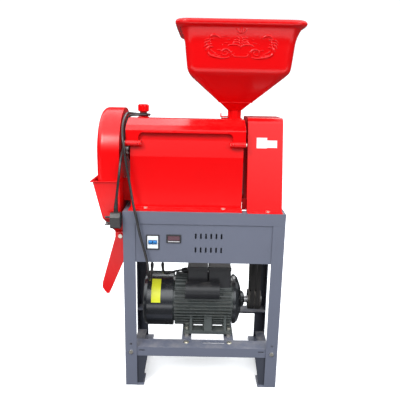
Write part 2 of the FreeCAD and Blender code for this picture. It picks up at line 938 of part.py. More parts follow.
def front_cover():
    """Folded front sheet with a foot flange and the two hinge lugs of the hood."""
    y0 = -s.mill_front
    wall = s.cover_wall
    z0 = base_top
    corners = [
        (y0 - s.cover_flange + 4, z0), (y0 + wall, z0), (y0 + wall, shaft_z),
        (y0 + wall + 9, shaft_z + 50), (y0 + wall + 14, hood_top - 25),
        (y0 + 14, hood_top - 25), (y0 + 9, shaft_z + 50), (y0, shaft_z),
        (y0, z0 + wall), (y0 - s.cover_flange + 4, z0 + wall),
    ]
    sheet_body = prism("front_sheet", "X", corners, -s.mill_left, s.mill_left + s.mill_right)
    holes = [(x, y, hole_radius()) for x, y in base_bolt_places()]
    pocket(sheet_body, "Z", z0, wall, circles=holes)
    lugs = [sheet_body]
    for name, start in (("left", hinge_lug_starts()[0]), ("right", hinge_lug_starts()[1])):
        rim = s.hinge_radius
        axis_y = -s.hinge_front
        outline = [
            (y0 + 9, hinge_z - rim), (y0 + 9.5, hinge_z + rim),
            (axis_y, hinge_z + rim), (axis_y, hinge_z - rim),
        ]
        web = prism(name + "_lug_web", "X", outline, start, s.hinge_radius)
        eye = cylinder(name + "_lug_eye", "X", start, axis_y, hinge_z, rim, s.hinge_radius)
        lugs.append(fuse(name + "_lug", web, eye))
    whole = fuse("front_cover_whole", *lugs)
    bore = cylinder(
        "lug_bore", "X", -s.mill_left - 20, -s.hinge_front, hinge_z,
        s.hinge_pin_radius + s.running_gap, s.mill_left + s.mill_right + 40,
    )
    part(cut("front_cover_bored", whole, bore), "front_cover")


def hinge_lug_starts():
    gap = s.curved_gap * 2
    left = -s.hood_left + s.hood_leg_width + gap
    right = s.hood_right - s.hood_leg_width - gap - s.hinge_radius
    return left, right


def rear_cover():
    """Rear sheet and the fixed top behind the hood, with the feed opening and the screw hole."""
    y1 = s.mill_rear
    wall = s.cover_wall
    top = feed_foot
    z1 = shaft_z + 35
    corners = [
        (y1 + wall + 14, base_top), (y1 + wall + 14, base_top + wall), (y1 + wall, base_top + wall),
        (y1 + wall, z1 + 2), (y1 - 48, top), (2 - s.hood_rear, top),
        (2 - s.hood_rear, top - wall), (y1 - 50, top - wall), (y1, z1), (y1, base_top),
    ]
    cover = prism("rear_sheet", "X", corners, -s.mill_left, s.mill_left + s.mill_right)
    holes = [
        (s.feed_place, 0, s.throat_bore),
        (-s.knob_place, s.knob_rear, s.screw_radius + 2),
    ]
    pocket(cover, "Z", top - wall, wall, circles=holes)
    boss = [
        (0, s.screw_radius + s.running_gap), (0, s.knob_radius),
        (boss_height - 2, s.knob_radius), (boss_height, s.knob_radius - 2),
        (boss_height, s.screw_radius + s.running_gap),
    ]
    guide = turned("screw_boss", "Z", boss, -s.knob_place, s.knob_rear, top)
    part(fuse("rear_cover_whole", cover, guide), "rear_cover")


def bearing_housings():
    """Flanged bearing housings bolted to the outer faces of the end plates."""
    bore = s.shaft_radius + s.running_gap
    flange = s.bearing_radius + 10
    housings = []
    for name, side, face in (("left", -1, -s.mill_left), ("right", 1, s.mill_right)):
        outline = [
            (0, bore), (0, flange), (side * 6, flange), (side * 8, s.bearing_radius),
            (side * (s.bearing_depth - 4), s.bearing_radius),
            (side * s.bearing_depth, s.bearing_radius - 5), (side * s.bearing_depth, bore),
        ]
        housings.append(turned(name + "_bearing", "X", outline, face, 0, shaft_z))
    group("bearing_housings", *housings)


# ---------------------------------------------------------------- milling chamber


def chamber_cap():
    """Fixed upper half of the milling chamber with its side flanges and the feed neck."""
    outer = s.chamber_bore + s.chamber_wall
    length = s.chamber_left + s.chamber_right
    shell = half_turned(
        "cap_shell",
        [(0, s.chamber_bore), (length, s.chamber_bore), (length, outer), (0, outer)],
        False, -s.chamber_left, 0, shaft_z,
    )
    flanges = []
    for name, start in (("front", -outer - 18), ("rear", outer - 2)):
        flanges.append(box("cap_flange_" + name, -s.chamber_left, start, shaft_z, length, 20, 8))
    neck_top = feed_foot - s.cover_wall
    neck_low = shaft_z + s.chamber_bore
    neck = cylinder(
        "feed_neck", "Z", s.feed_place, 0, neck_low, s.throat_bore + 4.5, neck_top - neck_low,
    )
    bore = cylinder(
        "feed_neck_bore", "Z", s.feed_place, 0, shaft_z + 10, s.throat_bore, neck_top - shaft_z,
    )
    trim = cylinder(
        "neck_trim", "X", -s.chamber_left, 0, shaft_z, s.chamber_bore, length,
    )
    whole = fuse("cap_whole", shell, neck, *flanges)
    part(cut("chamber_cap_cut", whole, bore, trim), "chamber_cap")


def screen():
    """Lower half of the chamber, a sieve with long slots that pass the bran."""
    length = s.chamber_left + s.chamber_right
    outer = s.chamber_bore + s.screen_wall
    sieve = half_turned(
        "screen_shell",
        [(0, s.chamber_bore), (length, s.chamber_bore), (length, outer), (0, outer)],
        True, -s.chamber_left, 0, shaft_z,
    )
    slots = sketch_across(sieve, "Z", -outer - 2)
    for row in (-2, -1, 0, 1, 2):
        add_loop(slots, slot_outline(18, row * 13, 14, 2.5))
    doc.recompute()
    column = sieve.newObject("PartDesign::Pocket", "screen_slots")
    column.Profile = slots
    column.Reversed = True
    bind(column, Length=s.chamber_bore)
    rows = sieve.newObject("PartDesign::LinearPattern", "screen_slot_rows")
    rows.Originals = [column]
    rows.Direction = (slots, ["H_Axis"])
    rows.Occurrences = 12
    bind(rows, Length=length - 36)
    sieve.Tip = rows
    rails = []
    for name, start in (("front", -outer - 18), ("rear", outer - 1)):
        rails.append(box("screen_rail_" + name, -s.chamber_left, start, shaft_z - 8, length, 19, 8))
    cradle = []
    for name, x in (("left", -s.chamber_left), ("right", s.chamber_right - 8)):
        outline = [
            (-outer - 18, shaft_z - 8), (-outer - 10, shaft_z - 60), (outer + 10, shaft_z - 60),
            (outer + 18, shaft_z - 8),
        ]
        rib = prism("cradle_" + name, "X", outline, x, 8)
        cradle.append(rib)
    hollow = cylinder(
        "cradle_bore", "X", -s.chamber_left - 1, 0, shaft_z, s.chamber_bore, length + 2,
    )
    frame = cut("screen_frame_cut", fuse("screen_frame_whole", *rails, *cradle), hollow)
    part(fuse("screen_whole", sieve, frame), "screen")


# ---------------------------------------------------------------- hood and milling pressure


def hood():
    """Hinged hood: a folded cover open at the rear and below, arched between two legs."""
    front = -s.hood_front
    rear = -s.hood_rear
    low = hinge_z - s.hinge_radius
    wall = s.hood_wall
    skirt = hood_top - s.hood_skirt
    width = s.hood_left + s.hood_right
    outline = [(front, low)] + hood_profile(0)
    outline += [(rear, hood_top), (rear, skirt), (rear - 60, low)]
    shell = prism("hood_shell", "X", outline, -s.hood_left, width)
    fillet(
        shell, wall + 2,
        lambda middle, along: abs(along.x) > 0.9
        and middle.y < number(front + s.hood_slope_depth) + 0.1
        and middle.z > number(skirt),
    )
    hollow = [(front + wall, low - 5)] + hood_profile(wall)
    hollow += [(rear + 5, hood_top - wall), (rear + 5, low - 5)]
    pocket(shell, "X", wall - s.hood_left, width - 2 * wall, loops=[hollow])
    left = s.hood_leg_width - s.hood_left
    right = s.hood_right - s.hood_leg_width
    arch = [(left, low - 5), (right, low - 5), (right, skirt), (left, skirt)]
    pocket(shell, "Y", front - 1, wall + 2, loops=[arch])
    fillet(
        shell, 16,
        lambda middle, along: abs(middle.z - number(skirt)) < 0.1 and abs(along.y) > 0.9
        and middle.y < number(front) + 10,
    )
    lip = box("hood_lip", left + 16, front - 5, skirt, right - left - 32, 5, 4)
    barrels = []
    for name, start in (("left", -s.hood_left), ("right", right)):
        barrels.append(
            cylinder(
                "hood_barrel_" + name, "X", start, -s.hinge_front, hinge_z,
                s.hinge_radius, s.hood_leg_width,
            )
        )
    bore = cylinder(
        "barrel_bore", "X", -s.hood_left - 10, -s.hinge_front, hinge_z,
        s.hinge_pin_radius + s.running_gap, width + 20,
    )
    part(cut("hood_bored", fuse("hood_whole", shell, lip, *barrels), bore), "hood")


def hood_pins():
    """Two headed pins through the hood's barrels and the lugs of the front cover."""
    left_lug, right_lug = hinge_lug_starts()
    reach = s.hood_leg_width + 2 * s.curved_gap + s.hinge_radius
    pins = []
    for name, side, end in (("left", -1, -s.hood_left), ("right", 1, s.hood_right)):
        outline = [
            (side * 3, 0), (side * 3, s.hinge_pin_radius + 2), (0, s.hinge_pin_radius + 2),
            (0, s.hinge_pin_radius), (-side * reach, s.hinge_pin_radius), (-side * reach, 0),
        ]
        pins.append(turned(name + "_pin", "X", outline, end, -s.hinge_front, hinge_z))
    group("hood_pins", *pins)


def pressure_knob():
    """Fluted hand knob with a waisted neck on its adjusting screw."""
    neck = s.neck_radius
    head = s.knob_radius
    tall = s.knob_height - 3
    outline = [
        (-72, 0), (-72, s.screw_radius), (0, s.screw_radius), (0, neck + 3), (3, neck + 3),
        (5, neck), (14, neck), (18, head), (tall - 4, head), (tall, head - 4), (tall, 0),
    ]
    knob = turned("knob_form", "Z", outline, -s.knob_place, s.knob_rear, feed_foot + boss_height)
    doc.recompute()
    sketch = sketch_across(knob, "Z", 15)
    add_circle(sketch, head + 2, 0, 5)
    flute = knob.newObject("PartDesign::Pocket", "knob_flute")
    flute.Profile = sketch
    flute.Reversed = True
    flute.Length = 60
    polar_copies(knob, flute, "Z_Axis", 8)
    part(knob, "pressure_knob")


def pressure_gate():
    """Outlet gate that the knob's screw lowers over the chamber's end."""
    nut_z = shaft_z + 58
    plate_x = -s.chamber_left - 2 - s.gate_wall
    gate = prism(
        "gate_plate", "X",
        [(-38, shaft_z + 12), (38, shaft_z + 12), (38, nut_z + 12), (-38, nut_z + 12)],
        plate_x, s.gate_wall,
    )
    notch = cylinder("gate_notch", "X", plate_x - 1, 0, shaft_z, s.shaft_radius + 12, s.gate_wall + 2)
    block = box(
        "gate_nut", plate_x - 18, s.knob_rear - 10, nut_z - 6, 18, 20, 18,
    )
    thread = cylinder(
        "gate_thread", "Z", -s.knob_place, s.knob_rear, nut_z - 10,
        s.screw_radius + s.curved_gap, 30,
    )
    part(cut("pressure_gate_cut", fuse("gate_whole", gate, block), notch, thread), "pressure_gate")


# ---------------------------------------------------------------- feed


def octagon(x, width):
    """Corners of a regular octagon about a place on the shaft's line."""
    half = width / 2
    corner = half * math.tan(math.radians(22.5))
    return [
        (x - half, -corner), (x - corner, -half), (x + corner, -half), (x + half, -corner),
        (x + half, corner), (x + corner, half), (x - corner, half), (x - half, corner),
    ]


slide_z = feed_foot + 9


def feed_throat():
    """Octagonal cast neck on a square flange, slotted for the feed slide."""
    pipe = prism("throat_pipe", "Z", octagon(s.feed_place, s.throat_width), feed_foot, s.throat_height)
    half = s.throat_flange / 2
    x = s.feed_place - 8
    flange = prism(
        "throat_flange_plate", "Z",
        [(x - half, -half + 13), (x + half, -half + 13), (x + half, half), (x - half, half)],
        feed_foot, 6,
    )
    bore = cylinder(
        "throat_hole", "Z", s.feed_place, 0, feed_foot - 1, s.throat_bore, s.throat_height + 2,
    )
    slot = box(
        "slide_slot", s.feed_place - s.throat_width, -s.slide_width / 2 - s.curved_gap,
        slide_z - s.curved_gap, s.throat_width + s.throat_bore + 2,
        s.slide_width + 2 * s.curved_gap, s.slide_wall + 2 * s.curved_gap,
    )
    part(cut("throat_cut", fuse("throat_whole", pipe, flange), bore, slot), "feed_throat")


def feed_gate():
    """Feed slide: a plate through the throat with a turned-up finger grip."""
    tip = s.feed_place + s.throat_bore + 1.5
    start = s.feed_place - s.throat_width / 2 - 24
    plate = box("slide_plate", start, -s.slide_width / 2, slide_z, tip - start, s.slide_width, s.slide_wall)
    grip = box("slide_grip", start, -s.slide_width / 2, slide_z, 3, s.slide_width, 12)
    part(fuse("slide_form", plate, grip), "feed_gate")


collar_z = feed_foot + s.throat_height


def hopper_collar():
    """Square funnel collar between the throat and the hopper, with a rim flange."""
    foot = s.throat_width / 2 + 1
    half = s.collar_width / 2
    centre = (s.feed_place, 0)
    wall = s.sheet_wall
    funnel = loft(
        "collar_funnel",
        [(collar_z, centre, foot, foot, 6), (collar_z + s.collar_height, centre, half, half, 8)],
        [
            (collar_z, centre, foot - wall - 4, foot - wall - 4, 4),
            (collar_z + s.collar_height, centre, half - wall - 2, half - wall - 2, 6),
        ],
    )
    part(funnel, "hopper_collar")


hopper_z = collar_z + s.collar_height


def hopper():
    """Square pyramid hopper with round corners, a flared mouth and a rolled rim."""
    centre = (s.feed_place, 0)
    wall = s.sheet_wall
    slope = (s.hopper_low_width - s.hopper_foot_width) / number(s.hopper_low_height)
    rise = (s.hopper_high_width - s.hopper_low_width) / number(s.hopper_high_height - s.hopper_low_height)
    below = s.hopper_low_width - slope * s.hopper_bend
    above = s.hopper_low_width + rise * s.hopper_bend
    stations = [
        (0, s.hopper_foot_width, 8),
        (s.hopper_low_height - s.hopper_bend, below, 22),
        (s.hopper_low_height, s.hopper_low_width * 0.5 + below * 0.25 + above * 0.25, 25),
        (s.hopper_low_height + s.hopper_bend, above, 26),
        (s.hopper_high_height, s.hopper_high_width, 28),
    ]
    for share in (0.25, 0.5, 0.75, 1):
        height = s.hopper_high_height + (s.hopper_rim_height - s.hopper_high_height) * share
        spread = (s.hopper_rim_width - s.hopper_high_width) * share ** 2
        stations.append((height, s.hopper_high_width + spread, 28 + 14 * share))
    outer = []
    inner = []
    for height, width, radius in stations:
        outer.append((hopper_z + height, centre, width / 2, width / 2, radius))
        inner.append((hopper_z + height, centre, width / 2 - wall, width / 2 - wall, radius - 2))
    shell = loft("hopper_shell", outer, inner)
    part(fuse("hopper_whole", shell, rim_roll(), base_ring()), "hopper")


def rim_roll():
    """Wired edge of the hopper's mouth."""
    body = new_body("rim_roll")
    path = sketch_across(body, "Z", hopper_z + s.hopper_rim_height)
    half = s.hopper_rim_width / 2
    add_rounded_rectangle(path, (s.feed_place, 0), half, half, 42)
    profile = sketch_across(body, "Y")
    add_circle(
        profile, s.feed_place - half, hopper_z + s.hopper_rim_height, s.rim_radius,
    )
    pipe = body.newObject("PartDesign::AdditivePipe", "rim_pipe")
    pipe.Profile = profile
    pipe.Spine = (path, [])
    return body


def base_ring():
    """Foot flange of the hopper over the collar."""
    half = s.collar_width / 2 + 3
    inner = s.collar_width / 2 - s.sheet_wall - 4
    x = s.feed_place
    return prism(
        "hopper_ring", "Z", [(x - half, -half), (x + half, -half), (x + half, half), (x - half, half)],
        hopper_z, 2.5,
        windows=[[(x - inner, -inner), (x + inner, -inner), (x + inner, inner), (x - inner, inner)]],
    )


# ---------------------------------------------------------------- winnowing fan and rice outlet

housing_left = -s.housing_right - s.housing_width


def add_arch(sketch, radius, spring, foot):
    """An outline with a round top about the shaft and straight sides."""
    r, z, low = number(radius), number(spring), number(foot)
    circle = Part.Circle(FreeCAD.Vector(0, z, 0), FreeCAD.Vector(0, 0, 1), r)
    arc = sketch.addGeometry(Part.ArcOfCircle(circle, 0, math.pi), False)
    points = ((-r, z), (-r, low), (r, low), (r, z))
    lines = []
    for (x0, z0), (x1, z1) in zip(points, points[1:]):
        line = Part.LineSegment(FreeCAD.Vector(x0, z0, 0), FreeCAD.Vector(x1, z1, 0))
        lines.append(sketch.addGeometry(line, False))
    sketch.addConstraint(Sketcher.Constraint("Tangent", arc, 2, lines[0], 1))
    sketch.addConstraint(Sketcher.Constraint("Coincident", lines[0], 2, lines[1], 1))
    sketch.addConstraint(Sketcher.Constraint("Coincident", lines[1], 2, lines[2], 1))
    sketch.addConstraint(Sketcher.Constraint("Tangent", lines[2], 2, arc, 1))
    sketch.addConstraint(Sketcher.Constraint("Vertical", lines[0]))
    sketch.addConstraint(Sketcher.Constraint("Horizontal", lines[1]))
    sketch.addConstraint(Sketcher.Constraint("Vertical", lines[2]))
    fix_point(sketch, arc, 3, 0, spring)
    dimension(sketch, "Radius", radius, arc)
    dimension(sketch, "DistanceY", foot, -1, 1, lines[0], 2)


def fan_housing():
    """Round-topped fan drum, open below into the funnel, with a rounded outer rim."""
    wall = s.cover_wall
    drum = new_body("drum")
    outline = sketch_across(drum, "X", housing_left)
    add_arch(outline, s.housing_radius, shaft_z, housing_foot)
    pad = drum.newObject("PartDesign::Pad", "drum_pad")
    pad.Profile = outline
    bind(pad, Length=s.housing_width)

    def rim_at(x):
        return lambda middle, along: (
            abs(middle.x - number(x)) < 0.1 and abs(along.x) < 0.1
            and middle.z > number(housing_foot) + 1
        )

    fillet(drum, s.housing_round, rim_at(housing_left))
    hollow = new_body("drum_hollow")
    inner = sketch_across(hollow, "X", housing_left + wall)
    add_arch(inner, s.housing_radius - wall, shaft_z, housing_foot - 1)
    scoop = hollow.newObject("PartDesign::Pad", "drum_hollow_pad")
    scoop.Profile = inner
    bind(scoop, Length=s.housing_width - 2 * wall)
    fillet(hollow, s.housing_round - wall, rim_at(housing_left + wall))
    inlet = cylinder("fan_inlet", "X", housing_left - 1, 0, shaft_z, s.inlet_radius, wall + 2)
    opening = cylinder(
        "fan_shaft_hole", "X", -s.housing_right - wall - 1, 0, shaft_z, s.shaft_radius + 6, wall + 2,
    )
    part(cut("drum_cut", drum, hollow, inlet, opening), "fan_housing")


funnel_left = housing_left - 14
spout_z = housing_foot - s.funnel_drop
spout_x = -s.housing_right - 2 - s.spout_width / 2


def rice_funnel():
    """Tapered funnel under the fan housing with a rim flange and a short spout."""
    wall = s.sheet_wall
    top = housing_foot
    middle = spout_z + 75
    ratio = 0.385
    middle_left = funnel_left + (spout_x - s.spout_width / 2 - funnel_left) * (1 - ratio)
    right = -s.housing_right
    rows = (
        (top, funnel_left, right, s.housing_radius + 2),
        (middle, middle_left, right, s.housing_radius - 4),
        (spout_z, spout_x - s.spout_width / 2, spout_x + s.spout_width / 2, s.spout_depth / 2),
        (spout_z - 26, spout_x - s.spout_width / 2, spout_x + s.spout_width / 2, s.spout_depth / 2),
    )
    outer = []
    inner = []
    for height, left, end, deep in rows:
        centre = ((left + end) / 2, 0)
        half = (end - left) / 2
        outer.append((height, centre, half, deep, 6))
        inner.append((height, centre, half - wall, deep - wall, 4))
    shell = loft("funnel_shell", outer, inner)
    pocket(shell, "X", right - wall - 3, wall + 6, loops=[duct_outline(s.cover_wall)])
    flange_out = s.housing_radius + 7
    flange = prism(
        "funnel_flange", "Z",
        [
            (funnel_left - 5, -flange_out), (right, -flange_out),
            (right, flange_out), (funnel_left - 5, flange_out),
        ],
        top - 3, 3,
        windows=[[
            (funnel_left + wall, wall - s.housing_radius), (right - wall, wall - s.housing_radius),
            (right - wall, s.housing_radius - wall), (funnel_left + wall, s.housing_radius - wall),
        ]],
    )
    whole = fuse("funnel_whole", shell, flange)
    bore = cylinder(
        "chute_bore", "Y", spout_x, -s.spout_depth, chute_z, s.bolt_radius + s.curved_gap,
        2 * s.spout_depth,
    )
    part(cut("funnel_cut", whole, bore), "rice_funnel")


chute_z = spout_z - 14


def outlet_duct():
    """Rectangular duct that carries the rice from the mill's left end to the funnel."""
    length = s.housing_right - s.mill_left
    duct = prism(
        "duct_tube", "X", duct_outline(0), -s.housing_right, length,
        windows=[duct_outline(s.cover_wall)],
    )
    part(duct, "outlet_duct")


def rice_chute():
    """Tapered open trough that hangs from a bolt through the spout."""
    half = s.spout_depth / 2 + s.curved_gap
    wall = 2
    side = [
        (-16, -2), (-8, 7), (8, 7), (15, 0), (30, -30), (36, -60), (17, 8 - s.chute_length),
        (8, 5 - s.chute_length), (-12, 22 - s.chute_length), (-16, 40 - s.chute_length),
    ]
    walls = []
    for name, start in (("front", -half - wall), ("rear", half)):
        cheek = prism("chute_wall_" + name, "Y", side, start, wall, circles=[(0, 0, hole_radius())])
        walls.append(cheek)
    floor = [
        (30, -30), (36, -60), (17, 8 - s.chute_length), (15, 8 - s.chute_length), (34, -60), (28, -30),
    ]
    walls.append(prism("chute_floor", "Y", floor, -half, 2 * half))
    chute = fuse("chute_form", *walls)
    turn = FreeCAD.Rotation(FreeCAD.Vector(0, 1, 0), number(s.chute_tilt))
    place(chute, spout_x, 0, chute_z, turn)
    part(chute, "rice_chute")


# ---------------------------------------------------------------- belt drive


def belt_guard():
    """Leaning sheet guard over the driven pulley, open below for the belts."""
    wall = s.cover_wall - 1
    low = s.stand_height
    top = guard_top
    front = -s.guard_front
    crown = s.guard_lean - s.guard_front
    rear = s.guard_rear
    outline = [(front, low), (crown, top), (rear - 12, top), (rear, low)]
    cover = prism("guard_cover", "X", outline, s.guard_left, s.guard_width)

    def ridge(inset):
        return lambda middle, along: abs(along.x) > 0.9 and abs(middle.z - number(top) + inset) < 0.1

    fillet(cover, s.guard_round, ridge(0))
    hollow = [
        (front + wall, low - 1), (crown + wall, top - wall), (rear - 12 - wall, top - wall),
        (rear - wall, low - 1),
    ]
    inside = prism("guard_inside", "X", hollow, s.guard_left + wall, s.guard_width - 2 * wall)
    fillet(inside, s.guard_round - wall, ridge(number(wall)))
    opening = cylinder(
        "guard_opening", "X", s.guard_left - 1, 0, shaft_z, s.bearing_radius + 13, wall + 2,
    )
    flange = box("guard_flange", s.guard_left, front - 20, low, s.guard_width, 20.5, 3)
    hole = cylinder("guard_hole", "Z", guard_bolt_x, guard_bolt_y, low - 1, hole_radius(), 6)
    part(cut("guard_cut", fuse("guard_whole", cover, flange), hole, inside, opening), "belt_guard")


guard_bolt_x = s.guard_left + s.guard_width * 0.58
guard_bolt_y = -s.guard_front - 10


def grooved_rim(radius, width):
    """Rim outline of a two-belt pulley, from its left face to its right face."""
    depth = s.belt_height + 1
    points = [(-width / 2, radius)]
    for side in (-1, 1):
        middle = side * s.belt_pitch / 2
        mouth = s.belt_top / 2 + s.curved_gap * 1.2
        root = s.belt_foot / 2 + s.curved_gap
        points += [
            (middle - mouth, radius), (middle - root, radius - depth),
            (middle + root, radius - depth), (middle + mouth, radius),
        ]
    return points + [(width / 2, radius)]


def driven_pulley():
    rim = grooved_rim(s.driven_radius, s.pulley_width)
    half = s.pulley_width / 2
    hub = s.journal_radius + 12
    inner = s.driven_radius - s.belt_height - 8
    outline = [(-half, s.journal_radius), (-half, hub), (-5, hub), (-5, inner), (-half, inner)]
    outline += rim
    outline += [(half, inner), (5, inner), (5, hub), (half, hub), (half, s.journal_radius)]
    pulley = turned("driven_form", "X", outline, s.pulley_place, 0, shaft_z)
    doc.recompute()
    sketch = sketch_across(pulley, "X", -6)
    add_circle(sketch, (hub + inner) / 2, 0, (inner - hub) / 2 - 6)
    hole = pulley.newObject("PartDesign::Pocket", "web_hole")
    hole.Profile = sketch
    hole.Reversed = True
    hole.Length = 12
    polar_copies(pulley, hole, "X_Axis", 5)
    part(pulley, "driven_pulley")


def motor_pulley():
    rim = grooved_rim(s.motor_pulley_radius, s.pulley_width)
    half = s.pulley_width / 2
    outline = [(-half, s.motor_shaft_radius)] + rim + [(half, s.motor_shaft_radius)]
    part(turned("motor_pulley_form", "X", outline, s.pulley_place, 0, s.motor_height), "motor_pulley")


def drive_belts():
    """Two V-belts on the pulleys: a trapezoid carried round two arcs and two straights."""
    top = number(shaft_z)
    low = number(s.motor_height)
    r1 = number(s.driven_radius)
    r2 = number(s.motor_pulley_radius)
    sine = (r1 - r2) / (top - low)
    cosine = math.sqrt(1 - sine * sine)
    gap = number(s.curved_gap)
    belts = []
    for side in (-1, 1):
        x = number(s.pulley_place + side * s.belt_pitch / 2)

        def on(centre, radius, across, up):
            return FreeCAD.Vector(x, across * radius, centre + up * radius)

        a = on(top, r1, cosine, -sine)
        b = on(top, r1, 0, 1)
        c = on(top, r1, -cosine, -sine)
        d = on(low, r2, -cosine, -sine)
        e = on(low, r2, 0, -1)
        f = on(low, r2, cosine, -sine)
        edges = [
            Part.Arc(a, b, c).toShape(), Part.LineSegment(c, d).toShape(),
            Part.Arc(d, e, f).toShape(), Part.LineSegment(f, a).toShape(),
        ]
        path = Part.Wire(edges)
        tip = number(s.belt_top) / 2
        foot = number(s.belt_foot) / 2
        tall = number(s.belt_height)
        inward = FreeCAD.Vector(0, -cosine, sine)
        along = FreeCAD.Vector(1, 0, 0)
        corners = [
            a + along * tip, a + along * foot + inward * tall,
            a - along * foot + inward * tall, a - along * tip,
        ]
        section = Part.Wire(Part.makePolygon(corners + corners[:1]))
        belts.append(path.makePipeShell([section], True, False))
    loop = doc.addObject("Part::Feature", "belt_pair")
    loop.Shape = Part.makeCompound(belts)
    part(loop, "drive_belts")


# ---------------------------------------------------------------- turning parts of the mill


def main_shaft():
    """Stepped milling shaft: fan seat, bearings, roller seat and pulley seat."""
    thin = s.journal_radius
    thick = s.shaft_radius
    fan_end = housing_left + 12
    step_left = -s.housing_right - 2
    step_right = s.mill_right + s.bearing_depth + 4
    end = s.pulley_place + s.pulley_width / 2 + 8
    outline = [
        (fan_end, 0), (fan_end, thin - 1), (fan_end + 1, thin), (step_left, thin),
        (step_left, thick), (step_right, thick), (step_right, thin), (end - 1, thin),
        (end, thin - 1), (end, 0),
    ]
    part(turned("shaft_form", "X", outline, 0, 0, shaft_z), "main_shaft")


screw_start = s.chamber_right - 52


def milling_roller():
    """Chilled roller with four straight milling ribs."""
    roller = new_body("roller")
    start = 4 - s.chamber_left
    disc = sketch_across(roller, "X", start)
    add_circle(disc, 0, 0, s.roller_radius)
    add_circle(disc, 0, 0, s.shaft_radius)
    pad = roller.newObject("PartDesign::Pad", "roller_pad")
    pad.Profile = disc
    bind(pad, Length=screw_start - start)
    rib = sketch_across(roller, "X", start)
    add_loop(rib, [
        (-6, s.roller_radius - 3), (6, s.roller_radius - 3),
        (3, s.roller_radius + s.rib_height), (-4, s.roller_radius + s.rib_height),
    ])
    rib_pad = roller.newObject("PartDesign::Pad", "roller_rib")
    rib_pad.Profile = rib
    bind(rib_pad, Length=screw_start - start)
    polar_copies(roller, rib_pad, "X_Axis", 4)
    part(place(roller, 0, 0, shaft_z), "milling_roller")


def feed_screw():
    """Feed worm: a hub with one helical flight that pushes the grain to the roller."""
    hub = s.shaft_radius + 6
    end = s.chamber_right - 2
    length = end - screw_start
    body = new_body("worm")
    core = sketch_across(body, "Y")
    add_loop(core, [
        (screw_start, s.shaft_radius), (end, s.shaft_radius), (end, hub), (screw_start, hub),
    ])
    turn = body.newObject("PartDesign::Revolution", "worm_core")
    turn.Profile = core
    turn.ReferenceAxis = (core, ["H_Axis"])
    turn.Angle = 360
    doc.recompute()
    blade = sketch_across(body, "Y")
    add_loop(blade, [
        (screw_start + 1, hub - 1), (screw_start + 7, hub - 1),
        (screw_start + 6, s.flight_radius), (screw_start + 2, s.flight_radius),
    ])
    flight = body.newObject("PartDesign::AdditiveHelix", "worm_flight")
    flight.Profile = blade
    flight.ReferenceAxis = (blade, ["H_Axis"])
    flight.Mode = 0
    bind(flight, Pitch=s.flight_pitch, Height=length - 8)
    part(place(body, 0, 0, shaft_z), "feed_screw")


def fan_impeller():
    """Winnowing fan: a back disc on a hub with six straight blades."""
    disc_x = -s.housing_right - s.cover_wall - 10
    hub = s.journal_radius + 10
    wheel = turned(
        "impeller_wheel", "X",
        [
            (-s.blade_width + 4, s.journal_radius), (-s.blade_width + 4, hub), (0, hub),
            (0, s.impeller_radius), (3, s.impeller_radius), (3, s.journal_radius),
        ],
        disc_x, 0, shaft_z,
    )
    doc.recompute()
    blade = sketch_across(wheel, "X", 0)
    add_loop(blade, [
        (-1.5, hub - 3), (1.5, hub - 3), (1.5, s.impeller_radius), (-1.5, s.impeller_radius),
    ])
    pad = wheel.newObject("PartDesign::Pad", "impeller_blade")
    pad.Profile = blade
    pad.Reversed = True
    bind(pad, Length=s.blade_width)
    polar_copies(wheel, pad, "X_Axis", 6)
    part(wheel, "fan_impeller")


# ---------------------------------------------------------------- motor

motor_z = s.motor_height
fin_top = s.stator_radius + s.fin_height
frame_length = s.stator_left + s.stator_right
rotor_radius = s.stator_radius * 0.55


def fin_outline(offset, side, upright):
    """Section of one cooling fin: level on the motor's flanks, upright above and below."""
    half = s.fin_wall / 2
    far_face = half + (offset if number(offset) > 0 else -1 * offset)
    root = side * chord(s.stator_radius - 4, offset)
    tip = side * chord(fin_top, far_face)
    crest = half * 0.7
    corners = [(root, offset - half), (tip, offset - crest), (tip, offset + crest), (root, offset + half)]
    if upright:
        return [(level, reach) for reach, level in corners]
    return corners


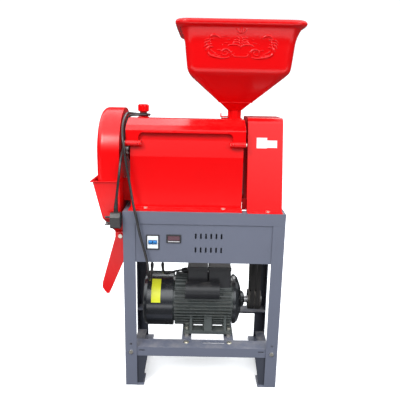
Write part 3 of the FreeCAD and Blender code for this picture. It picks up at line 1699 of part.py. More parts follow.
def motor_stator():
    """Finned cast frame of the motor with its two feet."""
    barrel = new_body("barrel")
    length = frame_length
    ring = sketch_across(barrel, "X", -s.stator_left)
    add_circle(ring, 0, 0, s.stator_radius)
    add_circle(ring, 0, 0, rotor_radius + 0.5)
    pad = barrel.newObject("PartDesign::Pad", "barrel_pad")
    pad.Profile = ring
    bind(pad, Length=length)
    for name, upright in (("side_fins", False), ("top_fins", True)):
        rows = sketch_across(barrel, "X", 6 - s.stator_left)
        for row in range(-5, 6):
            for side in (-1, 1):
                add_loop(rows, fin_outline(row * s.fin_pitch, side, upright))
        fins = barrel.newObject("PartDesign::Pad", name)
        fins.Profile = rows
        bind(fins, Length=length - 12)
    place(barrel, 0, 0, motor_z)
    foot_low = motor_z - s.motor_foot_height
    pieces = [barrel]
    for name, side in (("front", -1), ("rear", 1)):
        near = side * 54
        far = side * 92
        start = min(number(near), number(far))
        web = prism(
            "foot_%s_web" % name, "Y",
            rectangle((foot_left() + foot_right()) / 2, foot_low + 22, foot_right() - foot_left() - 8, 44),
            side * 59 - 3, 6,
        )
        arches = []
        for index, x in enumerate(foot_arches()):
            arches.append(
                cylinder(
                    "foot_%s_arch%d" % (name, index), "Y", x, side * 59 - 10,
                    foot_low + s.foot_plate_wall, 17, 20,
                )
            )
        pieces.append(cut("foot_%s_web_cut" % name, web, *arches))
        for index, (x, width) in enumerate(foot_ribs()):
            rib_profile = [
                (near, foot_low), (far, foot_low), (far, foot_low + s.foot_plate_wall),
                (side * 78, motor_z - 20), (side * 40, motor_z - 40), (side * 40, foot_low + 24),
            ]
            pieces.append(prism("foot_%s_rib%d" % (name, index), "X", rib_profile, x, width))
        left = foot_left()
        strip = prism(
            "foot_%s_strip" % name, "Z",
            [(left, near), (foot_right(), near), (foot_right(), far), (left, far)],
            foot_low, s.foot_plate_wall,
            circles=[(x, side * motor_bolt_y, hole_radius()) for x in bar_places()],
        )
        pieces.append(strip)
    part(fuse("stator_frame", *pieces), "motor_stator")


motor_bolt_y = 73


def foot_left():
    return 38 - s.stator_left


def foot_right():
    return s.stator_right - 2


def bar_places():
    """Centre lines of the two bars that carry the motor."""
    return (foot_left() + 11, foot_right() - 11)


def foot_ribs():
    left, right = bar_places()
    middle = (left + right) / 2
    return ((left + 10, 8), (middle - 13, 26), (right - 18, 8))


def foot_arches():
    """Middles of the two arches of each foot, either side of the centre rib."""
    left, right = bar_places()
    middle = (left + right) / 2
    return ((left + middle + 5) / 2, (right + middle - 5) / 2)


def motor_bars():
    """Two flat bars under the rails' flanges that carry the motor on spacers."""
    bars = []
    reach = half_depth - 2 * s.leg_wall - 4
    for name, x in zip(("left", "right"), bar_places()):
        holes = [(x, side * y, hole_radius()) for side in (-1, 1) for y in (motor_bolt_y, motor_stud_y())]
        bars.append(
            prism(
                name + "_bar", "Z",
                [(x - 16, -reach), (x + 16, -reach), (x + 16, reach), (x - 16, reach)],
                s.rail_top - s.leg_wall - 6, 6, circles=holes,
            )
        )
    group("motor_bars", *bars)


def motor_bolts():
    """Motor bolts with their spacers, and the bolts that join the bars to the rails."""
    items = []
    bar_top = s.rail_top - s.leg_wall
    foot_low = motor_z - s.motor_foot_height
    foot_top = foot_low + s.foot_plate_wall
    for index, x in enumerate(bar_places()):
        for side in (-1, 1):
            name = "motor_bolt_%d_%d" % (index, side + 1)
            long_bolt = bolt(name, "Z", x, side * motor_bolt_y, foot_top, foot_top - bar_top + 14, 1)
            spacer = cylinder(
                name + "_spacer", "Z", x, side * motor_bolt_y, bar_top, s.bolt_radius + 4,
                foot_low - bar_top,
            )
            nut = cylinder(name + "_nut", "Z", x, side * motor_bolt_y, bar_top - 10, s.bolt_head, 4)
            items.append(fuse(name + "_set", long_bolt, spacer, nut))
            name = "bar_bolt_%d_%d" % (index, side + 1)
            short_bolt = bolt(name, "Z", x, side * motor_stud_y(), s.rail_top, 18, 1)
            washer = cylinder(
                name + "_washer", "Z", x, side * motor_stud_y(), s.rail_top, s.bolt_head + 2, 1.5,
            )
            low_nut = cylinder(
                name + "_nut", "Z", x, side * motor_stud_y(), bar_top - 10, s.bolt_head, 4,
            )
            items.append(fuse(name + "_set", short_bolt, washer, low_nut))
    group("motor_bolts", *items)


def motor_shields():
    """Domed drive-end shield and flat fan-end shield with the shaft's bearing bores."""
    bore = s.motor_shaft_radius + s.running_gap
    barrel = s.stator_radius
    face = s.stator_right
    far = s.shield_length
    drive = turned(
        "drive_shield_form", "X",
        [
            (0, bore), (0, barrel + 6), (8, barrel + 6), (18, barrel - 4), (far - 8, 48),
            (far - 6, 30), (far + 2, 26), (far + 6, 20), (far + 6, bore),
        ],
        face, 0, motor_z,
    )
    rear = turned(
        "rear_shield_form", "X",
        [
            (0, bore), (0, s.cowl_radius - 2), (-10, s.cowl_radius - 2), (-12, 60), (-20, 30),
            (-20, bore),
        ],
        -s.stator_left, 0, motor_z,
    )
    group("motor_shields", drive, rear)


def fan_cowl():
    """Drawn cowl over the motor's fan with a ring of air slots in its end."""
    end = -s.cowl_length
    outer = s.cowl_radius
    cowl = turned(
        "cowl_form", "X",
        [
            (0, outer - 2), (0, outer), (end + 14, outer), (end + 4, outer - 5), (end, outer - 16),
            (end, 0), (end + 2, 0), (end + 2, outer - 17), (end + 6, outer - 7),
            (end + 15, outer - 2),
        ],
        -s.stator_left, 0, motor_z,
    )
    doc.recompute()
    slot = sketch_across(cowl, "X", end - 1)
    add_loop(slot, [(-3, 20), (3, 20), (5, outer - 24), (-5, outer - 24)])
    vent = cowl.newObject("PartDesign::Pocket", "cowl_vent")
    vent.Profile = slot
    vent.Reversed = True
    vent.Length = 4
    polar_copies(cowl, vent, "X_Axis", 16)
    part(cowl, "fan_cowl")


def motor_shaft():
    """Motor shaft with its rotor core."""
    thin = s.motor_shaft_radius
    end = s.pulley_place + s.pulley_width / 2 + 5
    fan_end = -s.stator_left - s.cowl_length + 26
    core = rotor_radius
    outline = [
        (fan_end, 0), (fan_end, thin), (12 - s.stator_left, thin), (12 - s.stator_left, core),
        (s.stator_right - 12, core), (s.stator_right - 12, thin), (end - 1, thin), (end, thin - 1),
        (end, 0),
    ]
    part(turned("motor_shaft_form", "X", outline, 0, 0, motor_z), "motor_shaft")


def motor_fan():
    """Seven-bladed cooling fan on the motor's shaft."""
    fan_x = -s.stator_left - s.cowl_length + 32
    reach = s.cowl_radius - 14
    hub = s.motor_shaft_radius + 10
    wheel = turned(
        "motor_fan_hub", "X",
        [
            (0, s.motor_shaft_radius), (0, hub), (36, hub), (36, reach - 6), (39, reach - 6),
            (39, s.motor_shaft_radius),
        ],
        fan_x, 0, motor_z,
    )
    doc.recompute()
    blade = sketch_across(wheel, "X", 4)
    add_loop(blade, [(-1.5, hub - 3), (1.5, hub - 3), (1.5, reach), (-1.5, reach)])
    pad = wheel.newObject("PartDesign::Pad", "motor_fan_blade")
    pad.Profile = blade
    pad.Length = 33
    polar_copies(wheel, pad, "X_Axis", 7)
    part(wheel, "motor_fan")


box_front = -62
box_top = s.motor_height + 140


def motor_boxes():
    """Terminal box and capacitor box that saddle the top of the motor."""
    boxes = []
    left = 49 - s.stator_left
    for name, start, end in (("terminal", left, 18), ("capacitor", 20, s.stator_right - 10)):
        case = prism(
            name + "_case", "Z",
            [(start, box_front), (end, box_front), (end, 24), (start, 24)],
            motor_z + 62, box_top - motor_z - 62,
        )
        fillet(case, 5, lambda middle, along: abs(along.z) > 0.9)
        fillet(
            case, 3,
            lambda middle, along: abs(middle.z - number(box_top)) < 0.1,
        )
        saddle = cylinder(name + "_saddle", "X", -s.stator_left, 0, motor_z, fin_top, frame_length)
        boxes.append(cut(name + "_box", case, saddle))
    group("motor_boxes", *boxes)


def capacitor_cover():
    """Long half-round cover on the upper front of the motor."""
    left = 43 - s.stator_left
    cover = doc.addObject("Part::Cylinder", "cover_round")
    bind(cover, Radius=29, Height=114)
    place(cover, left, -80, motor_z + 66, TURN_TO["X"])
    saddle = cylinder("cover_saddle", "X", -s.stator_left, 0, motor_z, fin_top, frame_length)
    clear = box(
        "cover_trim", -s.stator_left, box_front, motor_z + 61, frame_length, -box_front, s.fin_height * 8,
    )
    part(cut("cover_form", cover, saddle, clear), "capacitor_cover")


# ---------------------------------------------------------------- bolts of the housings


def case_bolts():
    """Bolts of the covers, the feed collar, the guard and the chute's pivot."""
    items = []
    for index, (x, y) in enumerate(base_bolt_places()):
        grip = s.cover_wall + s.base_wall
        items.append(bolt("cover_bolt_%d" % index, "Z", x, y, base_top + s.cover_wall, grip, 1))
    items.append(bolt("guard_bolt", "Z", guard_bolt_x, guard_bolt_y, s.stand_height + 3, 3, 1))
    group("case_bolts", *items)


def chute_pivot():
    """Two shouldered screws, front and rear, on which the rice chute swings."""
    half = s.spout_depth / 2 + s.curved_gap + 2
    inner = s.spout_depth / 2 - s.sheet_wall
    screws = []
    for name, side in (("front", -1), ("rear", 1)):
        outline = [
            (side * (half + 5), 0), (side * (half + 5), s.bolt_head),
            (side * (half + s.curved_gap), s.bolt_head), (side * (half + s.curved_gap), s.bolt_radius),
            (side * inner, s.bolt_radius), (side * inner, 0),
        ]
        screws.append(turned(name + "_chute_screw", "Y", outline, spout_x, 0, chute_z))
    group("chute_pivot", *screws)


# ---------------------------------------------------------------- cords


def rounded_path(points):
    """Straight runs joined by tangent arcs; each arc is as large as its two runs allow."""
    nodes = [FreeCAD.Vector(*point) for point in points]
    edges = []
    start = nodes[0]
    radii = []
    for before, corner, after in zip(nodes, nodes[1:], nodes[2:]):
        back = before - corner
        ahead = after - corner
        shorter = min(back.Length, ahead.Length)
        turn = math.pi - back.getAngle(ahead)
        reach = 0.45 * shorter
        radius = reach / math.tan(turn / 2)
        enter = corner + back.normalize() * reach
        leave = corner + ahead.normalize() * reach
        bisector = (back + ahead).normalize()
        middle = corner + bisector * (math.hypot(radius, reach) - radius)
        edges.append(Part.LineSegment(start, enter).toShape())
        edges.append(Part.Arc(enter, middle, leave).toShape())
        start = leave
        radii.append(radius)
    edges.append(Part.LineSegment(start, nodes[-1]).toShape())
    print("cord radii", " ".join("%.0f" % radius for radius in radii))
    return Part.Wire(edges)


def cord(label, points, radius):
    path = rounded_path(points)
    r = number(radius)
    start = FreeCAD.Vector(*points[0])
    heading = FreeCAD.Vector(*points[1]) - start
    section = Part.Wire(Part.makeCircle(r, start, heading))
    tube = path.makePipeShell([section], True, False)
    print(label, "volume ratio %.4f" % (tube.Volume / (math.pi * r * r * path.Length)))
    print(label, "length %.0f" % path.Length)
    item = doc.addObject("Part::Feature", label + "_tube")
    item.Shape = tube
    part(item, label)


MAINS_ROUTE = (
    (-166, -103, 423), (-166, -103, 397), (-168, -125, 374), (-169, -152, 374),
    (-170, -174, 397), (-172, -176, 436), (-180, -174, 472), (-190, -173, 508),
    (-199, -173, 545), (-205, -174, 583), (-215, -168, 620), (-222, -159, 658),
    (-230, -152, 700), (-237, -150, 745), (-243, -152, 790), (-249, -140, 830),
    (-252, -105, 864), (-252, -65, 883), (-252, -25, 890), (-249, 8, 889),
    (-235, 27, 886), (-215, 29, 884.5), (-193, 29, 884.5), (-182, 10, 884.5),
    (-193, -9, 884.5), (-215, -9, 884.5), (-236, -7, 884), (-248, -14, 881),
    (-252, -34, 868), (-252, -62, 844), (-252, -90, 814), (-253, -120, 784),
    (-255, -147, 752), (-258, -160, 713), (-262, -166, 674), (-266, -169, 640),
    (-268, -169, 612),
)
LEAD_ROUTE = (
    (-132, -103, 423), (-132, -103, 400), (-130, -96, 378), (-122, -70, 362),
    (-108, -42, 356), (-92, -24, 356), (-73, -20, 357),
)


def mains_plug():
    """Three-pin plug that hangs at the cord's end, with a strain relief on its top."""
    x, y, z = MAINS_ROUTE[-1]
    top = z - 12
    case = prism(
        "plug_case", "X",
        [(y - 19, top - 14), (y - 10, top), (y + 10, top), (y + 19, top - 14), (y + 17, top - 48),
         (y - 17, top - 48)],
        x - 16, 30,
    )
    fillet(case, 5, lambda middle, along: abs(along.x) > 0.9)
    relief = turned(
        "plug_relief", "Z", [(0, 0), (0, 8), (12, 6), (12, 0)], x, y, top,
    )
    pins = []
    for index, (across, up, radius) in enumerate(((0, -16, 3.5), (-9.5, -36, 2.5), (9.5, -36, 2.5))):
        pin = cylinder("plug_pin_%d" % index, "X", x - 33, y + across, top + up, radius, 18)
        pins.append(pin)
    part(fuse("plug_form", case, relief, *pins), "mains_plug")


# ---------------------------------------------------------------- build

stand_legs()
foot_plates()
rail_along_x("top_rail_front", -1)
rail_along_x("top_rail_rear", 1)
side_rails()
motor_rail("motor_rail_front", -1)
motor_rail("motor_rail_rear", 1)
side_ties()
leg_gussets()
rail_bolts()
control_panel()
breaker()
panel_meter()
cable_glands()
base_plate()
end_plates()
front_cover()
rear_cover()
bearing_housings()
chamber_cap()
screen()
hood()
hood_pins()
pressure_knob()
pressure_gate()
feed_throat()
feed_gate()
hopper_collar()
hopper()
fan_housing()
rice_funnel()
outlet_duct()
rice_chute()
chute_pivot()
belt_guard()
driven_pulley()
motor_pulley()
drive_belts()
main_shaft()
milling_roller()
feed_screw()
fan_impeller()
motor_stator()
motor_bars()
motor_bolts()
motor_shields()
fan_cowl()
motor_shaft()
motor_fan()
motor_boxes()
capacitor_cover()
case_bolts()
cord("power_cord", MAINS_ROUTE, s.cord_radius)
mains_plug()
cord("motor_lead", LEAD_ROUTE, s.lead_radius)

doc.recompute()
for item in doc.Objects:
    if "Invalid" in item.State or "Error" in item.State:
        raise ValueError("%s failed: %s" % (item.Label, item.State))
os.makedirs("parts", exist_ok=True)
for item in PARTS:
    if item.Shape.isNull() or not item.Shape.isValid():
        raise ValueError("%s has no valid shape" % item.Label)
    item.Shape.exportStep("parts/%s.step" % item.Label)
print(len(PARTS), "sub-parts")
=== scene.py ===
import json
import math

import bmesh
import bpy
from mathutils import Matrix, Vector


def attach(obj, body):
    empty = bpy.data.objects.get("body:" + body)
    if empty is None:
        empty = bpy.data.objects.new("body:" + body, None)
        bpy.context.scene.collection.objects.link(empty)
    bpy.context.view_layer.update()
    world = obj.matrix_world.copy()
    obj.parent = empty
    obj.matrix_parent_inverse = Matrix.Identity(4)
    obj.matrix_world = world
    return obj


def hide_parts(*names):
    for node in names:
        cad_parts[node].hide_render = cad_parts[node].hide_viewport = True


bl_info = {
    "name": "Rice huller",
    "version": (1, 0, 0),
    "blender": (4, 5, 0),
    "location": "View3D > Sidebar > Rice huller",
    "description": "Dresses the rice huller with its finishes, ornament, cords and small parts",
    "category": "Object",
}

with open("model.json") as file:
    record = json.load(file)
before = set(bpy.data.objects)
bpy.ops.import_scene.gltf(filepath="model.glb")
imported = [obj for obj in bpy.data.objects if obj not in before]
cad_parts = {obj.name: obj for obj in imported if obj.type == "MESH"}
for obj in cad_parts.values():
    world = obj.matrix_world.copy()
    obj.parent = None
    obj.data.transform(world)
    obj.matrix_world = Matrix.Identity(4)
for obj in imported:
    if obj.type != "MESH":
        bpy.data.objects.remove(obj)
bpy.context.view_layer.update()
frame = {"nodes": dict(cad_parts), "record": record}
MM = 0.001


# ---------------------------------------------------------------- settings


class HullerColours(bpy.types.PropertyGroup):
    """Colours of the machine's finishes."""

    red: bpy.props.FloatVectorProperty(
        name="Red enamel", description="Paint of the mill, hopper and covers",
        subtype="COLOR", size=3, min=0, max=1, default=(0.86, 0.0015, 0.003))
    grey: bpy.props.FloatVectorProperty(
        name="Grey enamel", description="Paint of the stand and its panel",
        subtype="COLOR", size=3, min=0, max=1, default=(0.145, 0.157, 0.208))
    black: bpy.props.FloatVectorProperty(
        name="Black enamel", description="Paint of the motor's cowl, shields and boxes",
        subtype="COLOR", size=3, min=0, max=1, default=(0.018, 0.020, 0.024))
    frame_grey: bpy.props.FloatVectorProperty(
        name="Motor grey", description="Paint of the motor's finned frame",
        subtype="COLOR", size=3, min=0, max=1, default=(0.085, 0.098, 0.095))
    label: bpy.props.FloatVectorProperty(
        name="Label yellow", description="Blank label on the fan cowl",
        subtype="COLOR", size=3, min=0, max=1, default=(0.80, 0.83, 0.03))
    floor: bpy.props.FloatVectorProperty(
        name="Floor", description="Pale floor and backdrop",
        subtype="COLOR", size=3, min=0, max=1, default=(0.93, 0.93, 0.93))


class HullerSizes(bpy.types.PropertyGroup):
    """Sizes of the pieces added to the machine."""

    cord_diameter: bpy.props.FloatProperty(
        name="Mains cord", description="Diameter of the mains cord",
        unit="LENGTH", default=0.008, min=0.005, max=0.012)
    lead_diameter: bpy.props.FloatProperty(
        name="Motor lead", description="Diameter of the lead to the motor",
        unit="LENGTH", default=0.007, min=0.005, max=0.012)


def colours():
    return bpy.context.scene.huller_colours


def sizes():
    return bpy.context.scene.huller_sizes


# ---------------------------------------------------------------- node helpers


def add(tree, kind, values=None, **settings):
    """A shader node with its settings and its unlinked or linked inputs."""
    node = tree.nodes.new("ShaderNode" + kind)
    for key, value in settings.items():
        setattr(node, key, value)
    for key, value in (values or {}).items():
        socket = node.inputs[key]
        if isinstance(value, bpy.types.NodeSocket):
            tree.links.new(value, socket)
        else:
            socket.default_value = value
    return node


def effect(name, inputs, outputs):
    """An empty shader node group with named sockets, and its two end nodes."""
    tree = bpy.data.node_groups.new(name, "ShaderNodeTree")
    for label, kind, value in inputs:
        socket = tree.interface.new_socket(label, in_out="INPUT", socket_type="NodeSocket" + kind)
        socket.default_value = value
    for label, kind in outputs:
        tree.interface.new_socket(label, in_out="OUTPUT", socket_type="NodeSocket" + kind)
    return tree, tree.nodes.new("NodeGroupInput").outputs, tree.nodes.new("NodeGroupOutput").inputs


def ramp(tree, value, low, high):
    """A value spread from 0 at low to 1 at high."""
    node = add(tree, "MapRange", {"Value": value, "From Min": low, "From Max": high})
    node.clamp = True
    return node.outputs["Result"]


def maths(tree, operation, first, second=0.0):
    return add(tree, "Math", {0: first, 1: second}, operation=operation).outputs[0]


def mixed(tree, factor, first, second):
    node = add(tree, "Mix", data_type="RGBA")
    for index, value in ((0, factor), (6, first), (7, second)):
        if isinstance(value, bpy.types.NodeSocket):
            tree.links.new(value, node.inputs[index])
        else:
            node.inputs[index].default_value = value
    return node.outputs[2]


def rgba(colour, shade=1.0):
    return (colour[0] * shade, colour[1] * shade, colour[2] * shade, 1.0)


# ---------------------------------------------------------------- shared effects


def soft_edges():
    """Rounds sharp edges in the shading, and gives a mask of where they are."""
    tree, given, result = effect(
        "soft_edges", [("Radius", "Float", 0.001)], [("Normal", "Vector"), ("Edge", "Float")])
    bevel = add(tree, "Bevel", {"Radius": given["Radius"]}, samples=4)
    flat = add(tree, "NewGeometry")
    dot = add(tree, "VectorMath", {0: bevel.outputs["Normal"], 1: flat.outputs["Normal"]},
              operation="DOT_PRODUCT")
    edge = ramp(tree, dot.outputs["Value"], 0.995, 0.80)
    tree.links.new(bevel.outputs["Normal"], result["Normal"])
    tree.links.new(edge, result["Edge"])
    return tree


def patches():
    """Cloudy and fine variation, as in hand-sprayed paint and handled metal."""
    tree, given, result = effect(
        "patches", [("Scale", "Float", 6.0), ("Contrast", "Float", 1.0)],
        [("Cloud", "Float"), ("Grain", "Float")])
    where = add(tree, "TexCoord").outputs["Object"]
    cloud = add(tree, "TexNoise", {"Vector": where, "Scale": given["Scale"], "Detail": 4.0,
                                   "Roughness": 0.55})
    finer = maths(tree, "MULTIPLY", given["Scale"], 45.0)
    fine = add(tree, "TexNoise", {"Vector": where, "Scale": finer, "Detail": 3.0, "Roughness": 0.6})
    centred = maths(tree, "SUBTRACT", cloud.outputs[0], 0.5)
    spread = maths(tree, "MULTIPLY", centred, given["Contrast"])
    tree.links.new(maths(tree, "ADD", spread, 0.5), result["Cloud"])
    tree.links.new(fine.outputs[0], result["Grain"])
    return tree


def settled_dust():
    """Dust that lies on faces that look up, broken by noise."""
    tree, given, result = effect(
        "settled_dust", [("Amount", "Float", 0.3), ("Scale", "Float", 30.0)], [("Mask", "Float")])
    normal = add(tree, "NewGeometry").outputs["Normal"]
    up = add(tree, "SeparateXYZ", {0: normal}).outputs["Z"]
    where = add(tree, "TexCoord").outputs["Object"]
    noise = add(tree, "TexNoise", {"Vector": where, "Scale": given["Scale"], "Detail": 6.0,
                                   "Roughness": 0.65})
    specks = ramp(tree, noise.outputs[0], 0.42, 0.72)
    broken = maths(tree, "MULTIPLY", ramp(tree, up, 0.55, 1.0), specks)
    tree.links.new(maths(tree, "MULTIPLY", broken, given["Amount"]), result["Mask"])
    return tree


def chips():
    """Small chips and rubbed places along edges."""
    tree, given, result = effect(
        "chips", [("Edge", "Float", 0.0), ("Wear", "Float", 0.5)], [("Mask", "Float")])
    where = add(tree, "TexCoord").outputs["Object"]
    noise = add(tree, "TexNoise", {"Vector": where, "Scale": 90.0, "Detail": 5.0, "Roughness": 0.7})
    eaten = maths(tree, "MULTIPLY", given["Edge"], ramp(tree, noise.outputs[0], 0.50, 0.62))
    tree.links.new(maths(tree, "MULTIPLY", eaten, given["Wear"]), result["Mask"])
    return tree


def grain_lines():
    """Fine lines left by rolling, brushing or turning."""
    tree, given, result = effect(
        "grain_lines", [("Stretch", "Vector", (8.0, 900.0, 900.0))], [("Lines", "Float")])
    where = add(tree, "TexCoord").outputs["Object"]
    long = add(tree, "VectorMath", {0: where, 1: given["Stretch"]}, operation="MULTIPLY")
    noise = add(tree, "TexNoise", {"Vector": long.outputs[0], "Scale": 1.0, "Detail": 3.0,
                                   "Roughness": 0.6})
    tree.links.new(noise.outputs[0], result["Lines"])
    return tree


EFFECTS = {}


def use(tree, name, values=None):
    """A shared effect, placed in a material with its own values."""
    makers = {"soft_edges": soft_edges, "patches": patches, "settled_dust": settled_dust,
              "chips": chips, "grain_lines": grain_lines}
    if name not in EFFECTS:
        EFFECTS[name] = makers[name]()
    node = tree.nodes.new("ShaderNodeGroup")
    node.node_tree = EFFECTS[name]
    for key, value in (values or {}).items():
        if isinstance(value, bpy.types.NodeSocket):
            tree.links.new(value, node.inputs[key])
        else:
            node.inputs[key].default_value = value
    return node.outputs


# ---------------------------------------------------------------- finishes


# Radius in metres of the rounding that each finish shades onto sharp edges.
PAINT_EDGE = 0.0012
METAL_EDGE = 0.0006
PLASTIC_EDGE = 0.0008
CAST_EDGE = 0.0015


def blank_material(name):
    material = bpy.data.materials.new(name)
    material.use_nodes = True
    tree = material.node_tree
    shader = tree.nodes["Principled BSDF"]
    return material, tree, shader


def paint(name, colour, shade, bare, gloss, peel, wear, dust, specular=0.5, coat=0.0):
    """Enamel: colour drift, orange peel, chipped edges and a little settled dust."""
    material, tree, shader = blank_material(name)
    edges = use(tree, "soft_edges", {"Radius": PAINT_EDGE})
    cloud = use(tree, "patches", {"Scale": 6.0, "Contrast": 1.4})
    chip = use(tree, "chips", {"Edge": edges["Edge"], "Wear": wear})["Mask"]
    dusty = use(tree, "settled_dust", {"Amount": dust})["Mask"]
    body = mixed(tree, cloud["Cloud"], shade, colour)
    worn = mixed(tree, chip, body, bare)
    tree.links.new(mixed(tree, dusty, worn, (0.55, 0.50, 0.44, 1.0)), shader.inputs["Base Color"])
    rough = maths(tree, "MULTIPLY_ADD", cloud["Grain"], 0.08)
    rough.node.inputs[2].default_value = gloss - 0.04
    dull = maths(tree, "MULTIPLY_ADD", dusty, 0.5)
    tree.links.new(rough, dull.node.inputs[2])
    tree.links.new(dull, shader.inputs["Roughness"])
    bump = add(tree, "Bump", {"Strength": peel, "Distance": 0.0004, "Height": cloud["Grain"],
                              "Normal": edges["Normal"]})
    tree.links.new(bump.outputs["Normal"], shader.inputs["Normal"])
    shader.inputs["Specular IOR Level"].default_value = specular
    shader.inputs["Coat Weight"].default_value = coat
    shader.inputs["Coat Roughness"].default_value = 0.16
    return material


def metal(name, colour, shade, gloss, stretch):
    """Bare metal with tool lines, stains and rounded edges."""
    material, tree, shader = blank_material(name)
    edges = use(tree, "soft_edges", {"Radius": METAL_EDGE})
    cloud = use(tree, "patches", {"Scale": 14.0, "Contrast": 2.0})
    lines = use(tree, "grain_lines", {"Stretch": stretch})["Lines"]
    dusty = use(tree, "settled_dust", {"Amount": 0.1})["Mask"]
    body = mixed(tree, cloud["Cloud"], shade, colour)
    tree.links.new(mixed(tree, dusty, body, (0.30, 0.26, 0.22, 1.0)), shader.inputs["Base Color"])
    rough = maths(tree, "MULTIPLY_ADD", lines, 0.22)
    rough.node.inputs[2].default_value = gloss - 0.11
    tree.links.new(rough, shader.inputs["Roughness"])
    shader.inputs["Metallic"].default_value = 1.0
    bump = add(tree, "Bump", {"Strength": 0.15, "Distance": 0.0003, "Height": lines,
                              "Normal": edges["Normal"]})
    tree.links.new(bump.outputs["Normal"], shader.inputs["Normal"])
    return material


def moulded(name, colour, shade, gloss, grain, depth, dust=0.15, specular=0.5):
    """Moulded plastic or rubber with a fine skin."""
    material, tree, shader = blank_material(name)
    edges = use(tree, "soft_edges", {"Radius": PLASTIC_EDGE})
    cloud = use(tree, "patches", {"Scale": grain, "Contrast": 1.2})
    dusty = use(tree, "settled_dust", {"Amount": dust})["Mask"]
    rubbed = maths(tree, "MULTIPLY", edges["Edge"], 0.25)
    body = mixed(tree, cloud["Cloud"], shade, colour)
    light = mixed(tree, rubbed, body, rgba(colour, 2.2))
    tree.links.new(mixed(tree, dusty, light, (0.35, 0.32, 0.29, 1.0)), shader.inputs["Base Color"])
    rough = maths(tree, "MULTIPLY_ADD", cloud["Grain"], 0.16)
    rough.node.inputs[2].default_value = gloss - 0.08
    tree.links.new(rough, shader.inputs["Roughness"])
    bump = add(tree, "Bump", {"Strength": depth, "Distance": 0.0002, "Height": cloud["Grain"],
                              "Normal": edges["Normal"]})
    tree.links.new(bump.outputs["Normal"], shader.inputs["Normal"])
    shader.inputs["Specular IOR Level"].default_value = specular
    return material


def cast(name, colour, shade, gloss):
    """Sand-cast iron with its rough skin and machined faces that shine a little."""
    material, tree, shader = blank_material(name)
    edges = use(tree, "soft_edges", {"Radius": CAST_EDGE})
    cloud = use(tree, "patches", {"Scale": 18.0, "Contrast": 2.2})
    dusty = use(tree, "settled_dust", {"Amount": 0.2})["Mask"]
    body = mixed(tree, cloud["Cloud"], shade, colour)
    bright = mixed(tree, maths(tree, "MULTIPLY", edges["Edge"], 0.6), body, rgba(colour, 2.5))
    tree.links.new(mixed(tree, dusty, bright, (0.40, 0.33, 0.24, 1.0)), shader.inputs["Base Color"])
    rough = maths(tree, "MULTIPLY_ADD", cloud["Grain"], 0.25)
    rough.node.inputs[2].default_value = gloss - 0.12
    tree.links.new(rough, shader.inputs["Roughness"])
    shader.inputs["Metallic"].default_value = 0.85
    bump = add(tree, "Bump", {"Strength": 0.6, "Distance": 0.0005, "Height": cloud["Grain"],
                              "Normal": edges["Normal"]})
    tree.links.new(bump.outputs["Normal"], shader.inputs["Normal"])
    return material


FINISHES = {}


